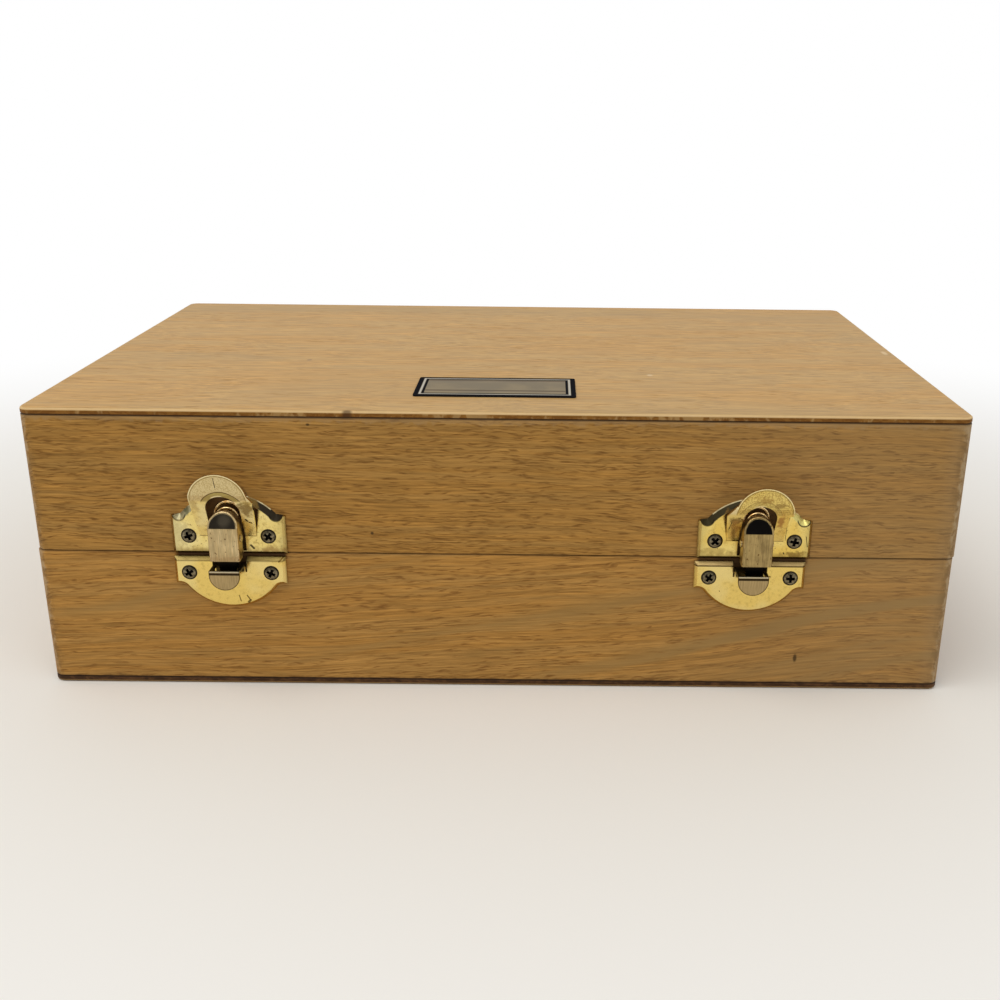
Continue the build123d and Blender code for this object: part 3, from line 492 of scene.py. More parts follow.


# x is from the plate's middle. Each shoulder is painted as a reflection: shoulder shade is the share of
# dark reflection on the left and the right one, and the lit shoulder colour is the bright one.
# Blotches: x, z, radii, colour and strength; they are stains, but the two dark ones beside the tongue at
# about 6 mm are painted shade on its leg.
# Marks: both ends and half width; on the right catch, the two that run down from z 50 to 43.8 are painted
# shade in the slit beside the tongue.
CATCH_LOOK = {
    "left": {
        "bright": rgb(0.82, 0.64, 0.22), "pale": rgb(0.86, 0.74, 0.36), "specks": 0.10,
        "shoulder_shade": (0.25, 0.97), "shoulder": rgb(0.50, 0.45, 0.26), "arch": 0.9,
        "tab": rgb(0.62, 0.49, 0.26), "tab_speck": rgb(0.46, 0.34, 0.16), "tab_share": 0.85,
        "blotches": (
            (6.2, 52.6, (1.9, 2.4), rgb(0.20, 0.12, 0.030), 0.85),
            (-6.4, 53.5, (1.1, 1.4), rgb(0.46, 0.32, 0.11), 0.6),
            (-12.0, 44.5, (1.6, 4.0), rgb(0.46, 0.36, 0.15), 0.5),
            (10.5, 39.8, (3.2, 0.8), rgb(0.30, 0.16, 0.05), 0.5),
            (-10.8, 49.9, (0.8, 1.3), rgb(0.10, 0.10, 0.04), 0.7),
        ),
        "marks": (
            ((5.5, 49.0), (5.9, 48.5), 0.24),
            ((6.3, 48.1), (6.8, 47.9), 0.20),
            ((5.6, 40.9), (6.3, 40.1), 0.28),
            ((-0.7, 61.3), (-0.6, 60.0), 0.09),
            ((-0.6, 60.0), (-0.4, 58.8), 0.10),
        ),
    },
    "right": {
        "bright": rgb(0.80, 0.56, 0.13), "pale": rgb(0.84, 0.65, 0.21), "specks": 0.08,
        "shoulder_shade": (0.96, 0.05), "shoulder": rgb(0.66, 0.58, 0.20), "arch": 0.35,
        "tab": rgb(0.72, 0.53, 0.15), "tab_speck": rgb(0.36, 0.22, 0.05), "tab_share": 0.75,
        "blotches": (
            (-5.9, 50.6, (1.7, 1.5), rgb(0.17, 0.09, 0.022), 0.85),
            (-5.8, 47.5, (1.1, 3.0), rgb(0.50, 0.27, 0.07), 0.7),
            (5.6, 50.3, (0.9, 2.2), rgb(0.36, 0.15, 0.04), 0.75),
            (0.8, 57.0, (1.6, 1.0), rgb(0.34, 0.20, 0.05), 0.7),
            (4.6, 55.6, (2.2, 0.7), rgb(0.25, 0.15, 0.04), 0.7),
            (10.6, 39.9, (2.6, 0.9), rgb(0.22, 0.13, 0.03), 0.75),
            (-9.9, 40.5, (4.0, 1.0), rgb(0.36, 0.24, 0.07), 0.5),
            (12.0, 49.9, (0.45, 0.35), BLACK_MARKS_AND_SHADE, 0.9),
        ),
        "marks": (
            ((7.6, 40.3), (7.8, 40.0), 0.16),
            ((-6.9, 50.0), (-7.3, 47.6), 0.10),
            ((13.2, 44.8), (13.7, 42.0), 0.10),
            ((8.5, 50.0), (8.1, 48.3), 0.18),
            ((8.1, 48.3), (7.8, 43.8), 0.07),
        ),
    },
}


def plate_shoulders(t, colour, look, view, flat, ragged):
    """Turned-down shoulders painted as a bright reflection on one side and a dark reflection on the other,
    with a painted highlight line and a scored groove. Returns them too.
    """
    centre, across, proud = view
    radius = t.from_point(centre, SHOULDER_Z)
    above = t.minus(t.minus(t.z, SHOULDER_Z), t.times(across, SHOULDER_SLOPE))
    rim = t.times(t.step(above, -0.3, 0.1), t.step(radius, SHOULDER_R - 0.10, SHOULDER_R + 0.12))
    groove_r = t.hypotenuse(t.minus(across, GROOVE_X), t.minus(t.z, GROOVE_Z))
    groove = t.step(groove_r, GROOVE_R + 0.1, GROOVE_R - 0.1)
    rim = t.times(rim, t.step(proud, 1.64, 1.54))
    turned = t.most(rim, t.times(groove, t.step(proud, 1.47, 1.38)))
    # painted reflection: one shoulder gets the lit colour, the other a dark, nearly black reflection
    to_right = t.step(t.x, centre - 0.1, centre + 0.1)
    shoulder_shade = t.span(to_right, *look["shoulder_shade"])
    shade = t.mix(shoulder_shade, look["shoulder"], BLACK_MARKS_AND_SHADE)
    colour = t.over(colour, shade, turned)
    # painted highlight along the shoulder's outer edge
    line = t.times(turned, t.step(radius, SHOULDER_R + 1.22, SHOULDER_R + 1.36))
    line = t.times(line, t.step(groove_r, GROOVE_R - 0.1, GROOVE_R + 0.3))
    colour = t.over(colour, PAINTED_HIGHLIGHT, line, t.span(ragged, 0.1, 1.3))
    scored = t.times(t.band(groove_r, GROOVE_R - 0.05, 0.10, 0.15), flat)
    scored = t.times(scored, t.step(t.z, GROOVE_Z + 0.2, GROOVE_Z - 0.4))
    colour = t.over(colour, BLACK_MARKS_AND_SHADE, scored, 0.85)
    return colour, turned, shoulder_shade


def plate_tab(t, colour, look, side, view, ragged):
    """Painted shade on the window's walls, the dull tab round it with a painted highlight on its rim, and
    the lip along its arch with a painted glint below.
    """
    centre, across, proud = view
    tab_x, tab_z = centre + TAB_SHIFT[side], TAB_Z[side]
    # painted shade, dark copper, on the window's cut walls
    facing = t.times(t.split(t.node("ShaderNodeTexCoord").outputs["Normal"])[1], -1.0)
    arch_r = t.from_point(centre + WINDOW_SHIFT[side], tab_z - WINDOW_DROP[side])
    near = t.step(across, WINDOW_HALF + 1.3, WINDOW_HALF + 0.9)
    near = t.times(near, t.step(t.z, tab_z + 4.6, tab_z + 4.0))
    wall = t.times(t.step(facing, 0.75, 0.5), near, t.step(proud, 1.6, 2.0))
    colour = t.over(colour, rgb(0.15, 0.055, 0.014), wall, 0.85)
    tongue = t.step(proud, 2.2, 3.0)
    tab = t.times(tongue, t.step(t.z, tab_z - 0.6, tab_z + 0.8))
    speckle = t.even_noise(3.0, 2.0)
    dull = t.mix(t.step(speckle, 0.40, 0.62), look["tab"], look["tab_speck"])
    colour = t.over(colour, dull, tab, look["tab_share"])
    tab_r = t.from_point(tab_x, tab_z)
    # painted highlight on the tab's rim, with a dark line inside it
    colour = t.over(colour, PAINTED_HIGHLIGHT, tab, t.step(tab_r, TAB_R - 0.26, TAB_R - 0.16), 0.8)
    colour = t.over(colour, OLIVE, tab, t.band(tab_r, TAB_R - 0.42, 0.07), 0.8)
    lip = t.times(tongue, t.step(t.z, tab_z - 0.4, tab_z + 0.4), look["arch"])
    arch = t.plus(arch_r, t.span(ragged, -0.3, 0.3))
    arch = t.times(t.step(arch, WINDOW_HALF + 1.4, WINDOW_HALF + 1.1), lip)
    colour = t.over(colour, rgb(0.40, 0.30, 0.09), arch)
    colour = t.over(colour, rgb(0.12, 0.07, 0.02), t.band(arch_r, WINDOW_HALF + 1.30, 0.09), lip)
    # painted glint under the arch
    glint = t.step(arch_r, WINDOW_HALF + 0.42, WINDOW_HALF + 0.27)
    glint = t.times(glint, t.step(t.off(t.x, centre - 0.5), 1.8, 0.9))
    colour = t.over(colour, PAINTED_HIGHLIGHT, glint, lip)
    return colour, t.most(wall, arch)


def catch_brass(side):
    """The catch plate: turned-down shoulders with grooves and painted reflections, a tongue with stains and
    painted shade, and a speckled lift tab.
    """
    node = side + "_latch_plate"
    look = CATCH_LOOK[side]
    t, colour, rough = brass("brass_" + node, look["bright"], look["pale"], 0.17, look["specks"])
    low, high, centre, across, proud = front_view(t, node)
    flat = t.step(proud, 2.4, 1.9)
    ragged = t.even_noise(0.6, 3.0, 0.6)
    uneven = t.span(ragged, -1.5, 1.5)
    blots = t.span(ragged, -1.6, 1.6)
    # dull lower edge, thin dark outline and painted shade in the crease at the tongue's foot
    foot = t.step(t.plus(t.z, uneven), low.z + 2.6, low.z + 0.4)
    colour = t.over(colour, OLIVE, foot, flat, 0.75)
    outer = t.step(t.plus(across, uneven), PLATE_HALF - 3.0, PLATE_HALF - 0.2)
    colour = t.over(colour, KHAKI, outer, flat, 0.45)
    edge = t.times(outline_of_plate(t, across, PLATE_HALF, low.z, high.z + 5.0), flat)
    colour = t.over(colour, OLIVE, edge, 0.75)
    # painted shade: a thin dark line in the crease
    crease = t.times(t.band(t.z, CREASE_Z + 0.12, 0.06), t.step(across, 7.4, 7.2))
    colour = t.over(colour, rgb(0.10, 0.05, 0.015), crease, flat, 0.75)
    view = (centre, across, proud)
    colour, turned, shoulder_shade = plate_shoulders(t, colour, look, view, flat, ragged)
    colour, dulled = plate_tab(t, colour, look, side, view, ragged)
    # stains, and painted shade beside the tongue
    for offset, z, radii, spot_colour, strength in look["blotches"]:
        colour = spot(t, colour, (centre + offset, z), radii, spot_colour, strength, ragged=blots)
    # dark marks, and painted shade in the slit beside the right catch's tongue
    for start, end, half in look["marks"]:
        colour = stroke(t, colour, centre, start, end, half, BLACK_MARKS_AND_SHADE)
    t.set(Base_Color=colour, Roughness=t.plus(rough, t.times(t.most(turned, dulled), 0.25)))
    # the painted dark reflection on the shoulders is made less metallic
    t.set(Metallic=t.minus(1.0, t.times(turned, shoulder_shade, 0.9)))
    return t.material


# the bevel's colour, the strength of the painted shade in the fold under it, and marks as on the catch
# plates
BEVEL = {"left": rgb(0.22, 0.165, 0.055), "right": rgb(0.36, 0.26, 0.115)}
FOLD_SHADE = {"left": 0.45, "right": 0.95}
KEEPER_MARKS = {
    "left": (
        ((1.8, 26.7), (2.2, 25.1), 0.13),
        ((3.9, 26.7), (4.7, 25.4), 0.17),
        ((4.7, 25.4), (4.2, 24.9), 0.30),
        ((14.2, 37.7), (12.8, 36.3), 0.20),
    ),
    "right": (((5.2, 33.6), (5.4, 33.5), 0.16), ((-7.7, 29.4), (-7.6, 29.2), 0.10)),
}


def keeper_brass(side):
    """The keeper plate: its top bevel dulled above painted shade in its fold, and its round lip brushed."""
    node = side + "_keeper_plate"
    bright, pale = rgb(0.82, 0.60, 0.17), rgb(0.84, 0.66, 0.25)
    t, colour, rough = brass("brass_" + node, bright, pale, 0.15, 0.0, 0.35)
    low, high, centre, across, proud = front_view(t, node)
    half = (high.x - low.x) / 2
    plate = t.step(proud, 2.0, 1.7)
    shaded = t.step(t.from_point(centre, high.z), 12.6, 14.6)
    colour = t.over(colour, KHAKI, shaded, t.step(t.z, 31.0, 28.0), 0.4)
    bevel = t.step(t.z, high.z - 1.0, high.z - 0.85)
    colour = t.over(colour, BEVEL[side], bevel, 0.92)
    # painted shade along the fold under the bevel
    fold = t.times(t.band(t.z, high.z - 1.02, 0.10, 0.12), plate)
    colour = t.over(colour, rgb(0.05, 0.025, 0.008), fold, FOLD_SHADE[side])
    edge = t.times(outline_of_plate(t, across, half, low.z - 5.0, high.z + 5.0), plate)
    colour = t.over(colour, rgb(0.30, 0.19, 0.05), edge, 0.65)
    for start, end, width in KEEPER_MARKS[side]:
        colour = stroke(t, colour, centre, start, end, width, rgb(0.12, 0.07, 0.015))
    # the lip that stands out: a painted highlight on its rim, a painted shadow line under it, brushed face
    # with a dark outline
    brushed = t.noise(t.scale(t.place, (3.6, 3.6, 0.25)), 3.0, 0.6)
    lip = t.step(proud, 6.9, 7.1)
    colour = t.over(colour, t.tinted(rgb(0.45, 0.325, 0.15), t.span(brushed, 0.45, 1.5)), lip)
    # painted highlight on the lip's rim
    colour = t.over(colour, rgb(0.58, 0.50, 0.34), t.step(t.z, LEDGE_Z - 0.36, LEDGE_Z - 0.26), lip)
    # painted shadow line under the rim
    colour = t.over(colour, rgb(0.02, 0.012, 0.006), t.band(t.z, LEDGE_Z - 0.72, 0.26, 0.12), lip, 0.95)
    drop = t.minus(t.z, LIP_LOW_Z + LIP_HALF)
    lip_r = t.hypotenuse(across, t.math("MINIMUM", drop, 0.0))
    lip_edge = t.step(lip_r, LIP_HALF - 0.28, LIP_HALF - 0.12)
    colour = t.over(colour, rgb(0.05, 0.03, 0.012), lip_edge, lip, 0.85)
    # painted shade, near black, in the slot behind the lip and on the faces set back between the plate and
    # the lip
    beside = t.step(across, LIP_HALF + 0.7, LIP_HALF + 0.4)
    beside = t.times(beside, t.step(t.z, LEDGE_Z - 1.2, LEDGE_Z - 0.8))
    under = t.step(across, LIP_HALF - 0.15, LIP_HALF - 0.45)
    under = t.times(under, t.step(t.z, LEDGE_Z - 2.6, LEDGE_Z - 2.2))
    hidden = t.times(t.step(proud, 6.9, 6.6), t.most(beside, under))
    behind = t.most(hidden, t.times(t.step(proud, 1.8, 2.4), t.step(proud, 6.7, 6.4)))
    # painted shade in the slot and on the set-back faces
    colour = t.over(colour, rgb(0.02, 0.012, 0.006), behind, 0.95)
    t.set(Base_Color=colour, Roughness=t.plus(rough, t.times(t.most(bevel, lip, behind), 0.28)))
    return t.material


# each lever's colours: the pad is painted as a dark reflection, and sheen is the strength of a painted
# highlight on it
STRAP_LOOK = {
    "left": {
        "dull": rgb(0.50, 0.37, 0.18), "bare": rgb(0.60, 0.46, 0.24), "low_edge": 0.35,
        "pad": rgb(0.055, 0.045, 0.032), "sheen": 0.55,
    },
    "right": {
        "dull": rgb(0.26, 0.18, 0.072), "bare": rgb(0.42, 0.30, 0.12), "low_edge": 0.0,
        "pad": rgb(0.012, 0.010, 0.009), "sheen": 0.0,
    },
}


def strap_brass(side):
    """The lever: brushed up and down and rubbed dull, with its top pad painted as a dark reflection with a
    painted highlight, and a tail painted black as shade.
    """
    node = side + "_latch_lever"
    look = STRAP_LOOK[side]
    t = Tree("brass_" + node)
    _, high, centre, across, proud = front_view(t, node)
    brushed = t.noise(t.scale(t.place, (3.4, 3.4, 0.18)), 3.0, 0.62)
    patches = t.noise(t.scale(t.place, (0.45, 0.45, 0.20)), 3.0, 0.6)
    pits = t.noise(t.scale(t.place, (1.5, 1.5, 1.1)), 2.0, 0.5)
    colour = t.mix(t.step(patches, 0.35, 0.65), look["dull"], look["bare"])
    colour = t.tinted(colour, t.span(brushed, 0.30, 1.7))
    spots = t.step(pits, 0.64, 0.72)
    colour = t.over(colour, rgb(0.12, 0.05, 0.015), spots, 0.8)
    low_edge = t.plus(t.z, t.span(pits, -1.5, 1.5))
    low_edge = t.times(t.step(low_edge, LEVER_LOW_Z + 2.2, LEVER_LOW_Z + 0.6), look["low_edge"])
    colour = t.over(colour, rgb(0.24, 0.11, 0.03), low_edge)
    drop = t.math("MAXIMUM", t.minus(t.z, high.z - LEVER_HALF), 0.0)
    radius = t.hypotenuse(across, drop)
    above = t.step(t.z, LEVER_CREASE_Z - 0.05, LEVER_CREASE_Z + 0.15)
    on_pad = t.times(t.step(radius, LEVER_HALF - 0.42, LEVER_HALF - 0.62), above, t.step(proud, 4.2, 4.6))
    # painted highlight on the pad, and the pad itself a painted dark reflection
    sheen = t.times(t.step(t.from_point(centre + 0.4, LEVER_CREASE_Z + 1.9), 2.2, 0.6), look["sheen"])
    colour = t.over(colour, t.mix(sheen, look["pad"], rgb(0.20, 0.165, 0.11)), on_pad)
    side_wall = t.step(across, LEVER_HALF - 0.12, LEVER_HALF - 0.02)
    colour = t.over(colour, rgb(0.62, 0.43, 0.14), side_wall, 0.6)
    notches = t.most(
        t.times(t.step(proud, 3.9, 3.6), t.band(t.z, 43.4, 0.9, 0.2)),
        t.times(t.step(proud, 3.1, 2.8), t.band(t.z, 41.4, 1.0, 0.2)),
    )
    colour = t.over(colour, BLACK_MARKS_AND_SHADE, side_wall, notches)
    # painted shade: the lever below its low edge painted near black
    tail = t.step(t.z, LEVER_LOW_Z + 0.1, LEVER_LOW_Z - 0.1)
    colour = t.over(colour, rgb(0.012, 0.009, 0.007), tail)
    t.set(Base_Color=colour, Metallic=1.0, Normal=t.bump(brushed, 0.25, 0.02))
    t.set(Roughness=t.plus(t.span(brushed, 0.30, 0.46), t.times(spots, 0.25)))
    return t.material


def screw_metal(name, node):
    """Turned screw heads: an olive-brown ring round a cross recess filled with painted shade, near black.
    """
    t = Tree(name)
    low, high, centre, across, proud = front_view(t, node)
    fine = t.even_noise(1.6, 3.0, 0.6)
    shade = t.mix(t.step(fine, 0.38, 0.66), rgb(0.27, 0.225, 0.135), rgb(0.10, 0.080, 0.048))
    reach = t.minus(across, (high.x - low.x) / 2 - HEAD_R)
    radius = t.hypotenuse(reach, t.minus(t.z, (low.z + high.z) / 2))
    rim = t.step(radius, HEAD_R - 0.50, HEAD_R - 0.28)
    shade = t.over(shade, rgb(0.022, 0.016, 0.010), rim, 0.9)
    dome = t.math("MULTIPLY_ADD", t.times(radius, radius), -HEAD_DOME, HEAD_LOW_PROUD)
    # painted shade, near black, in the cross recess
    recess = t.step(t.minus(dome, proud), 0.06, 0.16)
    shade = t.over(shade, rgb(0.006, 0.005, 0.004), recess)
    t.set(Base_Color=shade, Metallic=1.0, Roughness=t.span(fine, 0.28, 0.50))
    t.set(Normal=t.bump(fine, 0.15, 0.02))
    return t.material


def small_metal(name, colour, dark, rough, grain):
    """Drawn or turned small parts: a fine grain, darker in patches."""
    t = Tree(name)
    fine = t.even_noise(grain, 3.0, 0.6)
    shade = t.mix(t.step(fine, 0.38, 0.66), colour, dark)
    t.set(Base_Color=shade, Metallic=1.0, Roughness=t.span(fine, rough - 0.06, rough + 0.16))
    t.set(Normal=t.bump(fine, 0.15, 0.02))
    return t.material


# middle and half width of the two rules across the label
LABEL_RULES = ((-43.1, 0.45), (-54.2, 0.5))


def label_metal(name, node):
    """Blank satin plate with a printed border: a dark rim, a thin bright line and a dark rule."""
    t = Tree(name)
    low, high = corners(node)
    in_x = t.minus((high.x - low.x) / 2, t.off(t.x, (low.x + high.x) / 2))
    in_y = t.minus((high.y - low.y) / 2, t.off(t.y, (low.y + high.y) / 2))
    inside = t.math("MINIMUM", in_x, in_y)
    satin = t.noise(t.scale(t.place, (0.25, 6.0, 6.0)), 3.0, 0.6)
    cloudy = t.even_noise(0.12, 2.0)
    field = t.mix(t.step(cloudy, 0.35, 0.65), rgb(0.235, 0.180, 0.098), rgb(0.185, 0.145, 0.085))
    field = t.tinted(field, t.span(satin, 0.85, 1.15))
    rim = t.step(inside, 1.35, 1.25)
    rule = t.times(t.step(inside, 1.95, 2.05), t.step(inside, 2.75, 2.65))
    line = t.times(t.step(inside, 1.35, 1.45), t.step(inside, 1.95, 1.85))
    for y, half in LABEL_RULES:
        printed = t.times(t.band(t.y, y, half, 0.2), t.step(in_x, 2.6, 2.9), 0.8)
        field = t.over(field, rgb(0.070, 0.038, 0.014), printed)
    colour = t.mix(line, field, rgb(0.46, 0.43, 0.36))
    ink = t.most(rim, rule)
    colour = t.over(colour, rgb(0.012, 0.012, 0.014), ink)
    t.set(Base_Color=colour, Metallic=t.times(t.minus(1.0, ink), 0.5))
    t.set(Roughness=t.span(satin, 0.34, 0.50), Normal=t.bump(satin, 0.1, 0.01))
    t.set(Specular_IOR_Level=0.0)
    return t.material


def foam_look(name):
    """Charcoal open-cell foam."""
    t = Tree(name)
    distance = t.cells(t.scale(t.place, (1.6, 1.6, 1.6)))[0]
    cloudy = t.even_noise(0.08, 3.0)
    dust = t.even_noise(0.9, 4.0, 0.7)
    colour = t.mix(t.step(cloudy, 0.35, 0.65), rgb(0.034, 0.035, 0.038), rgb(0.052, 0.052, 0.056))
    colour = t.over(colour, rgb(0.008, 0.008, 0.009), t.step(distance, 0.25, 0.05))
    colour = t.over(colour, rgb(0.11, 0.11, 0.115), t.step(dust, 0.62, 0.80), 0.3)
    t.set(Base_Color=colour, Roughness=t.span(dust, 0.85, 1.0), Normal=t.bump(distance, 0.8, 0.35))
    t.set(Specular_IOR_Level=0.2)
    t.set(Sheen_Weight=0.25, Sheen_Roughness=0.6)
    return t.material


def give(node, material):
    """One material on a whole object."""
    node.data.materials.clear()
    node.data.materials.append(material)


# rounding of thin and of thicker stamped metal, and the angle from which an edge is rounded
THIN_ROUND = 0.12
THICK_ROUND = 0.14
SHARP_ANGLE = 34


def soften(node, width):
    """Small rounding on the sharp edges of stamped metal."""
    weld = node.modifiers.new("weld", "WELD")
    weld.merge_threshold = 0.002 * MM
    bevel = node.modifiers.new("round", "BEVEL")
    bevel.width = width * MM
    bevel.segments = 2
    bevel.limit_method = "ANGLE"
    bevel.angle_limit = math.radians(SHARP_ANGLE)
    bevel.harden_normals = True
    bevel.use_clamp_overlap = True


# wooden parts, each with its own place in the grain
SEED = {"base": 3.0, "lid": 7.0, "top": 5.0, "bottom": 9.0}
SEED_STEP = 1.7
for part in ("base", "lid"):
    for number, board in enumerate(("front", "back", "left", "right")):
        seed = SEED[part] + SEED_STEP * number
        give(nodes[part + "_" + board + "_board"], frame_wood(part, board, seed))
give(nodes["top_panel"], panel_wood("wood_top_panel", SEED["top"], HEIGHT, HEIGHT - PANEL, True))
give(nodes["bottom_panel"], panel_wood("wood_bottom_panel", SEED["bottom"], 0.0, PANEL, False))

# metal parts
spring_look = small_metal("golden_wire", rgb(0.84, 0.64, 0.32), rgb(0.42, 0.23, 0.07), 0.16, 0.8)
pin_look = small_metal("drawn_pins", rgb(0.60, 0.48, 0.26), rgb(0.34, 0.25, 0.12), 0.28, 1.4)
hinge_tree, colour, rough = brass("brass_hinges", rgb(0.78, 0.58, 0.22), rgb(0.80, 0.66, 0.34), 0.24, 0.02)
hinge_tree.set(Base_Color=colour, Roughness=rough)
screw_look = small_metal("brass_hinge_screws", rgb(0.70, 0.52, 0.22), rgb(0.42, 0.28, 0.10), 0.28, 1.5)
for side in SIDES:
    plate, keeper = side + "_latch_plate", side + "_keeper_plate"
    give(nodes[plate], catch_brass(side))
    give(nodes[keeper], keeper_brass(side))
    give(nodes[side + "_latch_lever"], strap_brass(side))
    soften(nodes[plate], THIN_ROUND)
    soften(nodes[keeper], THICK_ROUND)
    for group in (plate + "_screws", side + "_keeper_screws"):
        give(nodes[group], screw_metal("dark_" + group, group))
    give(nodes[side + "_latch_spring"], spring_look)
    give(nodes[side + "_latch_pin"], pin_look)
    give(nodes[side + "_hinge_pin"], pin_look)
    for which in ("lid", "base"):
        leaf = side + "_hinge_" + which + "_leaf"
        give(nodes[leaf], hinge_tree.material)
        give(nodes[side + "_hinge_" + which + "_screws"], screw_look)
        soften(nodes[leaf], THIN_ROUND)
give(nodes["label_plate"], label_metal("blank_label", "label_plate"))


# foam
def new_mesh(name, bm):
    """Object from a mesh that is being built, linked to the scene."""
    mesh = bpy.data.meshes.new(name)
    bm.to_mesh(mesh)
    bm.free()
    piece = bpy.data.objects.new(name, mesh)
    bpy.context.scene.collection.objects.link(piece)
    return piece


def rounded_loop(bm, middle, half, radius, z, corner_steps=6):
    """Loop of vertices on a rounded rectangle at one height."""
    loop = []
    for quarter in range(4):
        sign_x = (1, -1, -1, 1)[quarter]
        sign_y = (1, 1, -1, -1)[quarter]
        for k in range(corner_steps + 1):
            angle = math.radians(90 * quarter + 90 * k / corner_steps)
            x = middle[0] + sign_x * (half[0] - radius) + radius * math.cos(angle)
            y = middle[1] + sign_y * (half[1] - radius) + radius * math.sin(angle)
            loop.append(bm.verts.new((x, y, z)))
    return loop


def join_loops(bm, low, high):
    """Band of faces between two loops with as many vertices."""
    count = len(low)
    for k in range(count):
        bm.faces.new((low[k], low[(k + 1) % count], high[(k + 1) % count], high[k]))


def solid_of_loops(name, rings):
    """Closed solid through rounded loops, one above the other, with flat ends."""
    bm = bmesh.new()
    loops = [rounded_loop(bm, *ring) for ring in rings]
    for low, high in zip(loops, loops[1:]):
        join_loops(bm, low, high)
    bm.faces.new(list(reversed(loops[0])))
    bm.faces.new(loops[-1])
    bmesh.ops.recalc_face_normals(bm, faces=bm.faces)
    return new_mesh(name, bm)


def apply_modifier(piece, kind, **settings):
    """Replaces the piece's mesh by the same after one modifier."""
    modifier = piece.modifiers.new("step", kind)
    for key, value in settings.items():
        setattr(modifier, key, value)
    bpy.context.view_layer.update()
    graph = bpy.context.evaluated_depsgraph_get()
    mesh = bpy.data.meshes.new_from_object(piece.evaluated_get(graph))
    piece.modifiers.clear()
    piece.data = mesh


# middle and width of the two pockets along x, their half depth, and the foam left below them
POCKETS = ((-27.0, 152.0), (82.0, 42.0))
POCKET_HALF = 56.0
TRAY_FLOOR = 4.2
TRAY_CORNER = 1.5
# a pocket's outlines from its floor up: how far each is drawn out, its height, and its corner radius
POCKET_FROM_FLOOR = ((-2.5, 0.0, 6.0), (-0.6, 1.2, 6.0), (-0.2, 3.0, 6.0))
POCKET_FROM_TOP = ((0.0, -2.5, 6.0), (0.5, -1.0, 7.0), (1.6, -0.1, 7.0), (3.0, 2.0, 7.0))
REMESH_SIZE = 1.5


def foam_tray():
    """Cut foam in the base with two pockets, its cut edges soft and its walls a little uneven."""
    low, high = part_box("base_foam_tray")
    half = ((high.x - low.x) / 2, (high.y - low.y) / 2)
    rings = [((0, 0), half, TRAY_CORNER * MM, low.z)]
    for inset, below in ((0.0, 2.0), (0.6, 0.7), (2.0, 0.15)):
        reach = (half[0] - inset * MM, half[1] - inset * MM)
        rings.append(((0, 0), reach, TRAY_CORNER * MM, high.z - below * MM))
    body = solid_of_loops("base_foam", rings)
    floor_z = low.z + TRAY_FLOOR * MM
    for x, width in POCKETS:
        levels = [(out, floor_z + up * MM, radius) for out, up, radius in POCKET_FROM_FLOOR]
        levels += [(out, high.z + up * MM, radius) for out, up, radius in POCKET_FROM_TOP]
        rings = []
        for out, z, radius in levels:
            reach = (width / 2 * MM + out * MM, POCKET_HALF * MM + out * MM)
            rings.append(((x * MM, 0), reach, radius * MM, z))
        cutter = solid_of_loops("pocket", rings)
        apply_modifier(body, "BOOLEAN", operation="DIFFERENCE", object=cutter, solver="EXACT")
        bpy.data.objects.remove(cutter)
    apply_modifier(body, "REMESH", mode="VOXEL", voxel_size=REMESH_SIZE * MM)
    normals = [Vector(normal.vector) for normal in body.data.vertex_normals]
    moved = []
    for vertex, normal in zip(body.data.vertices, normals):
        place = vertex.co
        wave = vnoise.noise(place * 90.0) * 0.35 + vnoise.noise(place * 420.0) * 0.12
        inner = min(half[0] - abs(place.x), half[1] - abs(place.y), place.z - low.z)
        share = max(0.0, min(1.0, inner / (3 * MM)))
        moved.extend(place + normal * (wave * MM * share - 0.1 * MM))
    body.data.vertices.foreach_set("co", moved)
    for polygon in body.data.polygons:
        polygon.use_smooth = True
    return body


# peaks of the lid's pad: half the distance between them, the valleys' depth, and the flat border's drop
# and width
PEAK_PITCH = 11.1
PEAK_DROP = 6.0
BORDER_DROP = 2.2
BORDER = 3.0
PAD_COLUMNS = 200
PAD_ROWS = 120


def smooth_share(value):
    """Smooth step from 0 to 1."""
    value = max(0.0, min(1.0, value))
    return value * value * (3 - 2 * value)


